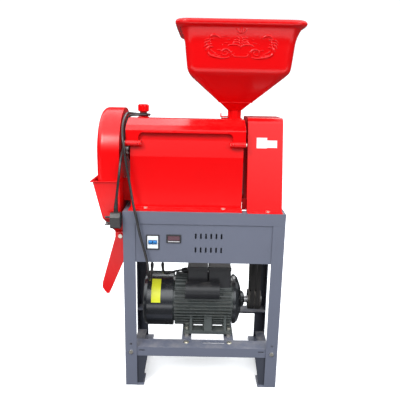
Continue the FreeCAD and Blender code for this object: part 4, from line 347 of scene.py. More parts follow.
def finish_named(name):
    """The finish of that name, made when it is first wanted."""
    if name in FINISHES:
        return FINISHES[name]
    palette = colours()
    red, grey, black = palette.red, palette.grey, palette.black
    fins, yellow = palette.frame_grey, palette.label
    makers = {
        "red_paint": lambda: paint(
            "red_enamel", rgba(red), rgba(red, 0.90), (0.10, 0.012, 0.010, 1.0),
            gloss=0.22, peel=0.06, wear=0.35, dust=0.04, specular=0.45),
        # Darker, duller copy of the red enamel: painted shade on the flange beside the belt guard.
        "painted_shade_red": lambda: paint(
            "painted_shade_red_enamel", rgba(red, 0.28), rgba(red, 0.22), (0.05, 0.01, 0.01, 1.0),
            gloss=0.5, peel=0.06, wear=0.2, dust=0.04, specular=0.15),
        "grey_paint": lambda: paint(
            "grey_enamel", rgba(grey), rgba(grey, 0.86), (0.05, 0.045, 0.045, 1.0),
            gloss=0.46, peel=0.35, wear=0.55, dust=0.25, specular=0.4),
        # Darker copy of the grey enamel: painted shade on the stand's parts that lie behind its front.
        "painted_shade_grey": lambda: paint(
            "painted_shade_grey_enamel", rgba(grey, 0.42), rgba(grey, 0.25), (0.05, 0.045, 0.045, 1.0),
            gloss=0.42, peel=0.35, wear=0.55, dust=0.25, specular=0.4),
        "motor_black": lambda: paint(
            "black_enamel", rgba(black), rgba(black, 0.7), (0.10, 0.10, 0.10, 1.0),
            gloss=0.26, peel=0.06, wear=0.5, dust=0.10, coat=1.0),
        "fin_grey": lambda: paint(
            "motor_enamel", rgba(fins), rgba(fins, 0.6), (0.35, 0.36, 0.35, 1.0),
            gloss=0.30, peel=0.3, wear=0.9, dust=0.15, coat=0.6),
        "zinc_steel": lambda: metal(
            "zinc_plate", (0.92, 0.88, 0.78, 1.0), (0.78, 0.74, 0.64, 1.0),
            gloss=0.42, stretch=(300.0, 300.0, 300.0)),
        "bare_steel": lambda: metal(
            "turned_steel", (0.60, 0.60, 0.61, 1.0), (0.42, 0.41, 0.40, 1.0),
            gloss=0.32, stretch=(900.0, 60.0, 60.0)),
        "raw_iron": lambda: cast(
            "cast_iron", (0.11, 0.105, 0.10, 1.0), (0.06, 0.055, 0.05, 1.0), gloss=0.55),
        "black_plastic": lambda: moulded(
            "black_plastic", (0.022, 0.022, 0.025, 1.0), (0.014, 0.014, 0.016, 1.0),
            gloss=0.42, grain=25.0, depth=0.3),
        "white_plastic": lambda: moulded(
            "white_plastic", (0.88, 0.91, 0.94, 1.0), (0.80, 0.84, 0.88, 1.0),
            gloss=0.28, grain=20.0, depth=0.08, dust=0.05),
        "blue_plastic": lambda: moulded(
            "blue_plastic", (0.03, 0.25, 0.62, 1.0), (0.02, 0.18, 0.5, 1.0),
            gloss=0.26, grain=20.0, depth=0.08, dust=0.05),
        "meter_plastic": lambda: moulded(
            "meter_plastic", (0.10, 0.025, 0.04, 1.0), (0.07, 0.018, 0.03, 1.0),
            gloss=0.12, grain=20.0, depth=0.03, dust=0.05),
        "pale_plastic": lambda: moulded(
            "pale_plastic", (0.62, 0.60, 0.62, 1.0), (0.5, 0.48, 0.5, 1.0),
            gloss=0.3, grain=20.0, depth=0.08, dust=0.05),
        "paper_label": lambda: moulded(
            "paper_label", (0.90, 0.90, 0.92, 1.0), (0.80, 0.80, 0.84, 1.0),
            gloss=0.42, grain=30.0, depth=0.1, dust=0.05),
        "yellow_label": lambda: moulded(
            "yellow_label", rgba(yellow), rgba(yellow, 0.85),
            gloss=0.4, grain=30.0, depth=0.1, dust=0.1),
        "black_rubber": lambda: moulded(
            "belt_rubber", (0.030, 0.028, 0.027, 1.0), (0.018, 0.017, 0.017, 1.0),
            gloss=0.68, grain=40.0, depth=0.6, specular=0.3),
        "cord_rubber": lambda: moulded(
            "cord_sheath", (0.028, 0.026, 0.026, 1.0), (0.020, 0.018, 0.018, 1.0),
            gloss=0.26, grain=40.0, depth=0.1),
        "brass": lambda: metal(
            "pin_brass", (0.80, 0.62, 0.30, 1.0), (0.66, 0.48, 0.20, 1.0),
            gloss=0.30, stretch=(60.0, 900.0, 900.0)),
    }
    FINISHES[name] = makers[name]()
    return FINISHES[name]


# Parts of the stand that lie in the shade behind its front; their shade is painted on as a darker grey.
SHADED_NODES = (
    "leg_rear_left", "leg_rear_right", "leg_gussets", "motor_rail_rear", "top_rail_rear",
    "side_ties",
)


class HULLER_OT_finishes(bpy.types.Operator):
    """Gives every CAD node the finish of its material slot, and the stand's parts behind its front a
    darker grey as painted shade
    """

    bl_idname = "huller.finishes"
    bl_label = "Finishes"

    def execute(self, context):
        for row in frame["record"]["subparts"]:
            node = frame["nodes"][row["node"]]
            in_shade = row["node"] in SHADED_NODES
            material = finish_named("painted_shade_grey" if in_shade else row["material_slot"])
            node.data.materials.clear()
            node.data.materials.append(material)
        return {"FINISHED"}


# ---------------------------------------------------------------- modelling helpers


def clear_selection():
    if bpy.context.object and bpy.context.object.mode != "OBJECT":
        bpy.ops.object.mode_set(mode="OBJECT")
    bpy.ops.object.select_all(action="DESELECT")


def only(obj):
    """Makes one object the selected and active one."""
    clear_selection()
    obj.select_set(True)
    bpy.context.view_layer.objects.active = obj
    return obj


def settle(obj, name, body, finish):
    """Applies an object's place, names it, gives it a finish and lets it ride on a body."""
    only(obj)
    if obj.type != "MESH":
        bpy.ops.object.convert(target="MESH")
        obj = bpy.context.object
    bpy.ops.object.transform_apply(location=True, rotation=True, scale=True)
    obj.name = name
    obj.data.name = name
    obj.data.materials.clear()
    obj.data.materials.append(finish_named(finish))
    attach(obj, body)
    return obj


# ---------------------------------------------------------------- shaping helpers


def apply_all(obj):
    """Applies every modifier of an object."""
    only(obj)
    for modifier in list(obj.modifiers):
        bpy.ops.object.modifier_apply(modifier=modifier.name)


def block(low, high, round_edges=0.0, segments=2):
    """A block between two corners, in mm, with its edges rounded."""
    centre = [(a + b) / 2 * MM for a, b in zip(low, high)]
    clear_selection()
    bpy.ops.mesh.primitive_cube_add(size=1, location=centre)
    obj = bpy.context.object
    obj.scale = [(b - a) * MM for a, b in zip(low, high)]
    bpy.ops.object.transform_apply(location=True, rotation=True, scale=True)
    if round_edges:
        bpy.ops.object.mode_set(mode="EDIT")
        bpy.ops.mesh.select_all(action="SELECT")
        bpy.ops.mesh.bevel(offset=round_edges * MM, segments=segments, affect="EDGES")
        bpy.ops.object.mode_set(mode="OBJECT")
    return obj


def carve(obj, *tools):
    """Cuts tools out of an object and removes them."""
    for tool in tools:
        cutter = obj.modifiers.new("cut", "BOOLEAN")
        cutter.operation = "DIFFERENCE"
        cutter.solver = "EXACT"
        cutter.object = tool
        apply_all(obj)
        bpy.data.objects.remove(tool)
    return obj


# ---------------------------------------------------------------- hopper


# The hopper's middle, foot, corner radius, rolled rim and sheet, in mm.
HOPPER_X = 92
HOPPER_FOOT = 929
HOPPER_CORNER = 9.6
ROLL_HALF = 176
ROLL_HEIGHT = 218
ROLL_RADIUS = 9.5
SHEET = 2.5
FLANGE_HALF = 52
FLANGE_HOLE_HALF = 46
# Half width and height over the foot, up the outside of the wall.
WALL = (
    (50, 0), (51.8, 1.5), (94, 38), (131, 70.3), (137, 75.5), (144, 82), (148.6, 88), (151, 95),
    (152.4, 103), (154.5, 126), (157, 150), (157.6, 160), (159.2, 172), (162.2, 184),
    (167, 196), (172.4, 206),
)


def hopper_rings():
    """Half widths and heights: up the outside, round the rolled rim and down the inside."""
    rings = list(WALL)
    for turn in range(-90, 211, 30):
        angle = math.radians(turn)
        rings.append((ROLL_HALF + ROLL_RADIUS * math.cos(angle),
                      ROLL_HEIGHT + ROLL_RADIUS * math.sin(angle)))
    rings += [(half - SHEET, height) for half, height in reversed(WALL)]
    return rings


def wall_half(height):
    """Half width of the hopper's outside at a height over its foot."""
    for (near, low), (far, high) in zip(WALL, WALL[1:]):
        if height <= high:
            return near + (far - near) * (height - low) / (high - low)
    return WALL[-1][0]


class HULLER_OT_hopper(bpy.types.Operator):
    """Hopper with soft bends, a flared mouth and a rolled rim"""

    bl_idname = "huller.hopper"
    bl_label = "Hopper"

    def execute(self, context):
        rings = hopper_rings()
        centre = (HOPPER_X * MM, 0, HOPPER_FOOT * MM)
        clear_selection()
        bpy.ops.mesh.primitive_plane_add(size=2 * rings[0][0] * MM, location=centre)
        obj = context.object
        bpy.ops.object.mode_set(mode="EDIT")
        bpy.ops.mesh.select_all(action="SELECT")
        bpy.ops.mesh.bevel(offset=HOPPER_CORNER * MM, segments=5, affect="VERTICES")
        bpy.ops.mesh.delete(type="ONLY_FACE")
        bpy.ops.mesh.select_all(action="SELECT")
        for (before, low), (after, high) in zip(rings, rings[1:]):
            bpy.ops.mesh.extrude_region_move(
                TRANSFORM_OT_translate={"value": (0, 0, (high - low) * MM)})
            share = after / before
            bpy.ops.transform.resize(value=(share, share, 1), center_override=centre)
        bpy.ops.mesh.select_all(action="DESELECT")
        bpy.ops.mesh.select_mode(type="EDGE")
        bpy.ops.mesh.select_non_manifold()
        bpy.ops.mesh.bridge_edge_loops()
        bpy.ops.mesh.select_all(action="SELECT")
        bpy.ops.mesh.normals_make_consistent(inside=False)
        bpy.ops.object.mode_set(mode="OBJECT")
        smooth = obj.modifiers.new("smooth", "SUBSURF")
        smooth.levels = smooth.render_levels = 2
        apply_all(obj)
        bpy.ops.object.shade_smooth()
        settle(obj, "hopper_shell", "machine", "red_paint")
        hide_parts("hopper")
        flange = block((HOPPER_X - FLANGE_HALF, -FLANGE_HALF, HOPPER_FOOT - 0.4),
                       (HOPPER_X + FLANGE_HALF, FLANGE_HALF, HOPPER_FOOT + 2.2), 0.8)
        carve(flange, block((HOPPER_X - FLANGE_HOLE_HALF, -FLANGE_HOLE_HALF, HOPPER_FOOT - 9),
                            (HOPPER_X + FLANGE_HOLE_HALF, FLANGE_HOLE_HALF, HOPPER_FOOT + 9)))
        settle(flange, "hopper_flange", "machine", "red_paint")
        return {"FINISHED"}


# ---------------------------------------------------------------- scroll relief


# Height of the relief's centre over the hopper's foot, how far it is squeezed upright, how much
# its strokes swell and stand out, and how deep it sits in the wall.
RELIEF_HEIGHT = 163
RELIEF_SQUEEZE = 0.93
RELIEF_SWELL = 1.12
RELIEF_DEPTH = 1.05
RELIEF_SINK = 0.2
# Strokes of the right half as (across, up, radius) in mm from the relief's centre.
STROKES = (
    ((2, 30, 2.2), (8, 34, 2.6), (13, 40, 2.0), (16, 43, 1.0)),
    ((9, 27, 1.8), (12, 27.5, 1.6)),
    ((1, 13, 1.6), (6, 17, 2.0), (13, 19, 1.8), (18, 17, 1.2), (18.5, 14.5, 0.9)),
    ((1, 6, 1.6), (7, 11, 2.1), (15, 12, 1.9), (21, 8.5, 1.3), (21, 6, 0.9)),
    ((1, 0, 1.7), (8, 5, 2.2), (17, 5.5, 2.0), (24, 2, 1.3), (24, -1, 0.9)),
    ((1, -8, 1.8), (8, -2.5, 2.4), (20, -1.5, 2.6), (32, -3, 2.2), (37, -7, 1.5), (36, -10, 1.0)),
    ((29, 3, 1.0), (37, 4, 1.4), (47, 1, 1.0)),
    ((30, 12.5, 1.4), (34, 11.5, 1.9), (37, 12.5, 1.2)),
    ((36, 21.5, 0.9), (45, 22.5, 1.3), (54, 20.5, 0.9)),
    ((50, -1.5, 1.3), (53, -2.5, 1.6)),
    ((57, 14, 1.2), (62, 19.5, 2.4), (72, 24, 3.0), (82, 22.5, 3.0), (88, 16, 2.4), (85, 11.5, 1.8),
     (79, 12, 1.5), (76, 15.5, 1.2)),
    ((86, 12, 1.8), (95, 13, 2.4), (102, 8, 1.4), (104, 4.5, 0.9)),
    ((83, 5, 1.8), (93, 6.5, 2.6), (102, 0.5, 1.6), (104.5, -3.5, 0.9)),
    ((80, -2, 1.8), (91, -1, 2.8), (101, -7.5, 1.8), (103.5, -12, 1.0)),
    ((77, -9, 1.6), (87, -8, 2.8), (97, -15, 2.0), (99, -20, 1.0)),
    ((88, 14, 1.8), (86, 4, 2.4), (88, -8, 2.8), (93, -20, 3.0), (90, -30, 3.2), (79, -36, 3.2),
     (66, -39, 3.0), (52, -41.5, 2.6), (40, -41, 2.2), (31, -38, 1.8)),
    ((84, -18, 1.4), (78, -24, 2.2), (70, -27, 1.6), (66, -25.5, 1.0)),
    ((80, -33, 1.6), (72, -31, 2.0), (64, -31.5, 1.4), (61, -28.5, 1.0)),
    ((66, -38, 1.6), (60, -34, 1.8), (56, -35, 1.2)),
    ((28, -37, 1.6), (26, -29, 2.2), (30, -20, 2.6), (38, -14.5, 2.8), (48, -16, 2.6), (54, -23, 2.2),
     (52, -31, 2.0), (44, -34, 1.9), (37, -30, 1.7), (37, -24, 1.5), (42, -21, 1.4), (46, -24, 1.2)),
    ((22, -20, 1.2), (27, -24, 2.0), (33, -25, 1.2)),
    ((54, -20, 1.6), (60, -16, 2.0), (66, -18, 1.2)),
    ((0, -36, 1.9), (10, -36.5, 1.9), (18, -36, 1.9), (22, -32, 1.8), (20, -28, 1.4), (16.5, -29.5, 1.1)),
)
CENTRE_STROKES = (
    ((0, 27, 1.2), (0, 33, 3.4), (0, 41, 2.8), (0, 47, 1.2)),
    ((0, -15, 0.8), (0, -8, 2.0), (0, 4, 2.6), (0, 16, 2.2), (0, 22, 1.2)),
)


class HULLER_OT_relief(bpy.types.Operator):
    """Scroll and leaf relief pressed into the hopper's front"""

    bl_idname = "huller.relief"
    bl_label = "Hopper relief"

    def execute(self, context):
        curve = bpy.data.curves.new("relief_strokes", "CURVE")
        curve.dimensions = "3D"
        curve.bevel_depth = MM
        curve.bevel_resolution = 2
        curve.use_fill_caps = True
        strokes = list(CENTRE_STROKES)
        for stroke in STROKES:
            strokes.append(stroke)
            strokes.append(tuple((-across, up, radius) for across, up, radius in stroke))
        for stroke in strokes:
            spline = curve.splines.new("NURBS")
            spline.points.add(len(stroke) - 1)
            for point, (across, up, radius) in zip(spline.points, stroke):
                point.co = (across * MM, 0, up * MM, 1)
                point.radius = radius * RELIEF_SWELL
            spline.order_u = 3
            spline.use_endpoint_u = True
            spline.resolution_u = 6
        obj = bpy.data.objects.new("relief_strokes", curve)
        context.scene.collection.objects.link(obj)
        only(obj)
        bpy.ops.object.convert(target="MESH")
        obj = context.object
        melt = obj.modifiers.new("melt", "REMESH")
        melt.mode = "VOXEL"
        melt.voxel_size = 0.9 * MM
        soften = obj.modifiers.new("soften", "SMOOTH")
        soften.factor = 0.5
        soften.iterations = 2
        apply_all(obj)
        for vertex in obj.data.vertices:
            up = RELIEF_HEIGHT + RELIEF_SQUEEZE * vertex.co.z / MM
            vertex.co.y = vertex.co.y * RELIEF_DEPTH - (wall_half(up) - RELIEF_SINK) * MM
            vertex.co.x += HOPPER_X * MM
            vertex.co.z = (HOPPER_FOOT + up) * MM
        bpy.ops.object.shade_smooth()
        settle(obj, "hopper_relief", "machine", "red_paint")
        return {"FINISHED"}


# ---------------------------------------------------------------- control panel


# The panel's outside in Y, and the middles of its two instruments in X and Z, in mm.
PANEL_FRONT = -157
BREAKER_MIDDLE = (-158, 503.25)
METER_MIDDLE = (-93, 515.25)


class HULLER_OT_controls(bpy.types.Operator):
    """Breaker with its dark surround, white face and twin toggles, and the meter"""

    bl_idname = "huller.controls"
    bl_label = "Breaker and meter"

    def execute(self, context):
        x, z = BREAKER_MIDDLE
        frame_piece = block((x - 20.5, PANEL_FRONT - 3, z - 24),
                            (x + 20.5, PANEL_FRONT - 0.1, z + 24), 0.8)
        carve(frame_piece, block((x - 17, PANEL_FRONT - 9, z - 20.5),
                                 (x + 17, PANEL_FRONT + 9, z + 20.5), 1.5))
        settle(frame_piece, "breaker_surround", "machine", "black_plastic")
        face = block((x - 16.9, PANEL_FRONT - 3.6, z - 20.4),
                     (x + 16.9, PANEL_FRONT + 40, z + 20.4), 1.2)
        carve(face, block((x - 14, PANEL_FRONT - 9, z - 7.2), (x + 14, PANEL_FRONT + 9, z + 7.2)))
        settle(face, "breaker_face", "machine", "white_plastic")
        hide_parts("breaker_body")
        toggles = []
        for side in (-1, 1):
            left = x + side * 6.8 - 6.3
            barrel = block((left, PANEL_FRONT - 5.6, z - 5.2),
                           (left + 12.6, PANEL_FRONT + 5.2, z + 5.2), 2.4, 3)
            lever = block((left + 1, PANEL_FRONT - 11, z + 0.6),
                          (left + 11.6, PANEL_FRONT - 2, z + 4.8), 1.4, 3)
            toggles += [barrel, lever]
        clear_selection()
        for piece in toggles:
            piece.select_set(True)
        context.view_layer.objects.active = toggles[0]
        bpy.ops.object.join()
        settle(toggles[0], "twin_toggles", "toggle_body", "blue_plastic")
        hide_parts("breaker_toggle")

        x, z = METER_MIDDLE
        rim = block((x - 23, PANEL_FRONT - 3, z - 13.5), (x + 23, PANEL_FRONT + 22, z + 13.5), 0.9)
        window = block((x - 19, PANEL_FRONT - 9, z - 5.5),
                       (x + 19, PANEL_FRONT - 0.8, z + 9.5), 0.5)
        slot = block((x - 18, PANEL_FRONT - 9, z - 10.5),
                     (x + 18, PANEL_FRONT - 2.2, z - 7), 0.4)
        carve(rim, window, slot)
        settle(rim, "meter_frame", "machine", "black_plastic")
        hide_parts("panel_meter")
        pane = block((x - 18.8, PANEL_FRONT - 1.9, z - 5.3),
                     (x + 18.8, PANEL_FRONT - 0.9, z + 9.3), 0.3)
        settle(pane, "meter_window", "machine", "meter_plastic")
        strip = block((x - 17.8, PANEL_FRONT - 2.9, z - 10.3),
                      (x + 17.8, PANEL_FRONT - 2.1, z - 7.2), 0.25)
        settle(strip, "meter_strip", "machine", "pale_plastic")
        return {"FINISHED"}


# ---------------------------------------------------------------- mill trim


# The belt guard's front rises from its foot and leans back 73 mm over 284 mm.
GUARD_FRONT = -138
GUARD_FOOT = 600
GUARD_LEAN = math.atan2(73, 284)


class HULLER_OT_trim(bpy.types.Operator):
    """Return flange beside the belt guard in a dark red that paints its shade, knob collar and motor box
    lids
    """

    bl_idname = "huller.trim"
    bl_label = "Mill and motor trim"

    def execute(self, context):
        flange = block((121.6, -1, -140), (131.4, 1, 140), 0.4, 1)
        flange.rotation_euler = (-GUARD_LEAN, 0, 0)
        flange.location = (0, -76 * MM, 742 * MM)
        # The flange and its foot take the dark red that paints their shade.
        settle(flange, "guard_flange", "machine", "painted_shade_red")
        foot = block((116.4, -123.4, 603.2), (131.2, -121.6, 640), 0.4, 1)
        settle(foot, "guard_flange_foot", "machine", "painted_shade_red")
        line = [Vector((-204, 10, height)) * MM for height in (885, 889, 893)]
        collar = sleeve("knob_collar", line, ribbed(0.6, 7.6, 12.2, 12.0, 2))
        settle(collar, "knob_collar", "knob_body", "black_rubber")
        for name, left, right in (("left_box_lid", -52, 19), ("right_box_lid", 19.4, 97)):
            lid = block((left, -64, 374), (right, -60.2, 386), 0.9)
            settle(lid, name, "machine", "black_plastic")
        return {"FINISHED"}


# ---------------------------------------------------------------- labels


# Name, left, right, low, high, and how far the plate stands off the guard, in mm.
GUARD_LABELS = (
    ("guard_label_left", 158.5, 191, 792, 825, 0.15),
    ("guard_label_right", 189, 222, 794, 817, 0.5),
)
# The cowl's label lies on a cylinder round the motor's axis: millimetres, then degrees of turn.
MOTOR_AXIS_HEIGHT = 244
COWL_LABEL_X = -157
COWL_LABEL_WIDTH = 31
COWL_LABEL_RADIUS = 94.15
COWL_LABEL_TURN = 40
COWL_LABEL_SPREAD = 52


class HULLER_OT_labels(bpy.types.Operator):
    """Blank labels on the belt guard and on the motor's fan cowl"""

    bl_idname = "huller.labels"
    bl_label = "Blank labels"

    def execute(self, context):
        for name, left, right, low, high, lift in GUARD_LABELS:
            middle = (low + high) / 2
            tall = (high - low) / 2
            plate = block((left, -0.25, -tall), (right, 0.25, tall), 0.2, 1)
            plate.rotation_euler = (-GUARD_LEAN, 0, 0)
            front = GUARD_FRONT + (middle - GUARD_FOOT) * math.tan(GUARD_LEAN)
            plate.location = (0, (front - 0.25 - lift) * MM, middle * MM)
            settle(plate, name, "machine", "paper_label")
        clear_selection()
        bpy.ops.mesh.primitive_plane_add(size=1, location=(0, 0, 0))
        label = context.object
        only(label)
        bpy.ops.object.mode_set(mode="EDIT")
        bpy.ops.mesh.select_all(action="SELECT")
        bpy.ops.mesh.subdivide(number_cuts=23)
        bpy.ops.object.mode_set(mode="OBJECT")
        for vertex in label.data.vertices:
            angle = math.radians(COWL_LABEL_TURN + COWL_LABEL_SPREAD * vertex.co.y)
            vertex.co = ((COWL_LABEL_X + COWL_LABEL_WIDTH * vertex.co.x) * MM,
                         -COWL_LABEL_RADIUS * MM * math.cos(angle),
                         (MOTOR_AXIS_HEIGHT + COWL_LABEL_RADIUS * math.sin(angle)) * MM)
        only(label)
        thick = label.modifiers.new("thick", "SOLIDIFY")
        thick.thickness = 0.35 * MM
        thick.offset = 1
        apply_all(label)
        bpy.ops.object.mode_set(mode="EDIT")
        bpy.ops.mesh.select_all(action="SELECT")
        bpy.ops.mesh.normals_make_consistent(inside=False)
        bpy.ops.object.mode_set(mode="OBJECT")
        bpy.ops.object.shade_smooth_by_angle(angle=math.radians(30))
        settle(label, "cowl_label", "machine", "yellow_label")
        return {"FINISHED"}


# ---------------------------------------------------------------- cords


MAINS_ROUTE = (
    (-166, -103, 423), (-166, -103, 397), (-168, -125, 374), (-169, -152, 374),
    (-170, -174, 397), (-172, -176, 436), (-180, -174, 472), (-190, -173, 508),
    (-199, -173, 545), (-205, -174, 583), (-215, -168, 620), (-222, -159, 658),
    (-230, -152, 700), (-237, -150, 745), (-243, -152, 790), (-249, -140, 830),
    (-252, -105, 864), (-252, -65, 883), (-252, -25, 890), (-249, 8, 889),
    (-235, 27, 886), (-215, 29, 884.5), (-193, 29, 884.5), (-182, 10, 884.5),
    (-193, -9, 884.5), (-215, -9, 884.5), (-236, -7, 884), (-248, -14, 881),
    (-252, -34, 868), (-252, -62, 844), (-252, -90, 814), (-253, -120, 784),
    (-255, -147, 752), (-258, -160, 713), (-262, -166, 674), (-266, -169, 640),
    (-268, -169, 612),
)
LEAD_ROUTE = (
    (-132, -103, 423), (-132, -103, 400), (-130, -96, 378), (-122, -70, 362),
    (-108, -42, 356), (-92, -24, 356), (-73, -20, 357),
)


def smooth_route(name, points, diameter):
    """A NURBS curve through a route's points, as thick as the cord."""
    curve = bpy.data.curves.new(name, "CURVE")
    curve.dimensions = "3D"
    curve.bevel_depth = diameter / 2
    curve.bevel_resolution = 5
    curve.use_fill_caps = True
    spline = curve.splines.new("NURBS")
    spline.points.add(len(points) - 1)
    for point, place in zip(spline.points, points):
        point.co = (place[0] * MM, place[1] * MM, place[2] * MM, 1.0)
    spline.order_u = 3
    spline.use_endpoint_u = True
    spline.resolution_u = 10
    obj = bpy.data.objects.new(name, curve)
    bpy.context.scene.collection.objects.link(obj)
    return obj


def line_of(obj):
    """The points along a route's own line."""
    bare = obj.copy()
    bare.data = obj.data.copy()
    bare.data.bevel_depth = 0
    bpy.context.scene.collection.objects.link(bare)
    mesh = bpy.data.meshes.new_from_object(bare)
    points = [vertex.co.copy() for vertex in mesh.vertices]
    bpy.data.objects.remove(bare)
    bpy.data.meshes.remove(mesh)
    return points


SLEEVE_SIDES = 20


def sleeve(name, line, rings):
    """A moulded sleeve along a line: rings of (distance from its start, radius)."""
    reach = [0.0]
    for before, after in zip(line, line[1:]):
        reach.append(reach[-1] + (after - before).length)

    def at(distance):
        for index in range(len(line) - 1):
            if reach[index + 1] >= distance or index == len(line) - 2:
                step = (distance - reach[index]) / (reach[index + 1] - reach[index])
                along = (line[index + 1] - line[index]).normalized()
                return line[index].lerp(line[index + 1], step), along

    mesh = bmesh.new()
    turns = [2 * math.pi * index / SLEEVE_SIDES for index in range(SLEEVE_SIDES)]
    loops = []
    for distance, radius in rings:
        centre, along = at(distance * MM)
        side = along.cross(Vector((1, 0, 0)))
        if side.length < 0.2:
            side = along.cross(Vector((0, 1, 0)))
        side.normalize()
        other = along.cross(side)
        loops.append([
            mesh.verts.new(centre + radius * MM * (math.cos(turn) * side + math.sin(turn) * other))
            for turn in turns])
    for first, second in zip(loops, loops[1:]):
        for index in range(SLEEVE_SIDES):
            follower = (index + 1) % SLEEVE_SIDES
            mesh.faces.new((first[index], first[follower], second[follower], second[index]))
    mesh.faces.new(loops[0][::-1])
    mesh.faces.new(loops[-1])
    bmesh.ops.recalc_face_normals(mesh, faces=mesh.faces)
    data = bpy.data.meshes.new(name)
    mesh.to_mesh(data)
    mesh.free()
    obj = bpy.data.objects.new(name, data)
    bpy.context.scene.collection.objects.link(obj)
    only(obj)
    bpy.ops.object.shade_smooth_by_angle(angle=math.radians(40))
    return obj


def ribbed(start, end, thick, thin, count):
    """Rings of a tapered strain relief with grooves between its ribs."""
    rings = [(start, thick)]
    for index in range(count):
        share = index / count
        place = start + (end - start) * share
        step = (end - start) / count
        radius = thick + (thin - thick) * share
        rings += [(place + step * 0.08, radius), (place + step * 0.55, radius - 0.15),
                  (place + step * 0.66, radius - 1.0), (place + step * 0.92, radius - 1.05)]
    rings.append((end, thin))
    return rings


class HULLER_OT_cords(bpy.types.Operator):
    """Mains cord round the pressure knob, the motor's lead, their strain reliefs and the strain relief at
    the plug
    """

    bl_idname = "huller.cords"
    bl_label = "Cords and plug"

    def execute(self, context):
        sheath = finish_named("cord_rubber")
        mains = smooth_route("mains_cord", MAINS_ROUTE, sizes().cord_diameter)
        lead = smooth_route("motor_cord", LEAD_ROUTE, sizes().lead_diameter)
        for piece in (mains, lead):
            piece.data.materials.append(sheath)
            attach(piece, "machine")
        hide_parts("power_cord")
        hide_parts("motor_lead")
        run = line_of(mains)
        boot = settle(sleeve("mains_relief", run, ribbed(12, 38, 6.4, 4.6, 6)),
                      "mains_relief", "machine", "cord_rubber")
        lead_boot = settle(sleeve("lead_relief", line_of(lead), ribbed(12, 36, 5.8, 4.1, 5)),
                           "lead_relief", "machine", "cord_rubber")
        plug_boot = settle(sleeve("plug_relief", run[::-1], ribbed(0.5, 30, 7.0, 4.7, 6)),
                           "plug_relief", "machine", "cord_rubber")
        return {"FINISHED"}


# ---------------------------------------------------------------- stage


def studio_paper():
    """White paper, bright where it is seen, and mirrored in the paint only as a strip in front."""
    material = bpy.data.materials.new("studio_paper")
    material.use_nodes = True
    tree = material.node_tree
    tree.nodes.clear()
    paper = add(tree, "BsdfDiffuse", {"Color": rgba(colours().floor)})
    glow = add(tree, "Emission", {"Color": rgba(colours().floor), "Strength": 0.35})
    shown = add(tree, "AddShader", {0: paper.outputs[0], 1: glow.outputs[0]})
    bounced = add(tree, "BsdfDiffuse", {"Color": rgba(colours().floor, 0.24)})
    ahead = add(tree, "SeparateXYZ", {0: add(tree, "TexCoord").outputs["Object"]}).outputs["Y"]
    strip = maths(tree, "MULTIPLY", ramp(tree, ahead, -0.6, -1.0), ramp(tree, ahead, -2.7, -1.9))
    mirrored = add(tree, "BsdfDiffuse", {
        "Color": mixed(tree, strip, rgba(colours().floor, 0.06), rgba(colours().floor, 0.85))})
    path = add(tree, "LightPath").outputs
    dim = add(tree, "MixShader", {
        0: path["Is Glossy Ray"], 1: bounced.outputs[0], 2: mirrored.outputs[0]})
    both = add(tree, "MixShader", {
        0: path["Is Camera Ray"], 1: dim.outputs[0], 2: shown.outputs[0]})
    add(tree, "OutputMaterial", {"Surface": both.outputs[0]})
    return material


def studio_air():
    """Bright above, dim towards the horizon, so upright faces stay deep and sloped ones shine."""
    world = bpy.data.worlds.new("studio_air")
    world.use_nodes = True
    tree = world.node_tree
    height = add(tree, "SeparateXYZ", {0: add(tree, "TexCoord").outputs["Generated"]}).outputs["Z"]
    glow = ramp(tree, height, 0.16, 0.50)
    air = mixed(tree, glow, (0.03, 0.032, 0.035, 1.0), (0.92, 0.96, 1.0, 1.0))
    seen = mixed(tree, add(tree, "LightPath").outputs["Is Camera Ray"], air, (0.5, 0.5, 0.5, 1.0))
    tree.links.new(seen, tree.nodes["Background"].inputs["Color"])
    tree.nodes["Background"].inputs["Strength"].default_value = 2.0
    return world


# The studio, in metres: the floor, and the sweep that lifts it to the backdrop.
FLOOR_WIDTH = 9.0
FLOOR_DEPTH = 7.0
FLOOR_SHIFT = 0.6
SWEEP_RADIUS = 1.5
SWEEP_STEPS = 10
BACKDROP_HEIGHT = 4.0
# Name, place, aim, size, power and tint of each area light.
LIGHTS = (
    ("key_light", (-1.5, -2.6, 2.7), (0, 0, 0.75), 1.1, 62, (1.0, 0.99, 0.97)),
    ("fill_light", (2.0, -2.6, 1.9), (0, 0, 0.7), 1.4, 30, (0.97, 0.98, 1.0)),
    ("back_light", (0.5, 2.8, 2.6), (0, 0, 0.8), 1.6, 20, (1.0, 1.0, 1.0)),
)
CAMERA_PLACE = (-0.014, -1.487, 0.952)
CAMERA_DOWN_DEGREES = 13.2
CAMERA_ROLL_DEGREES = 1.1
CAMERA_LENS_MM = 40.5


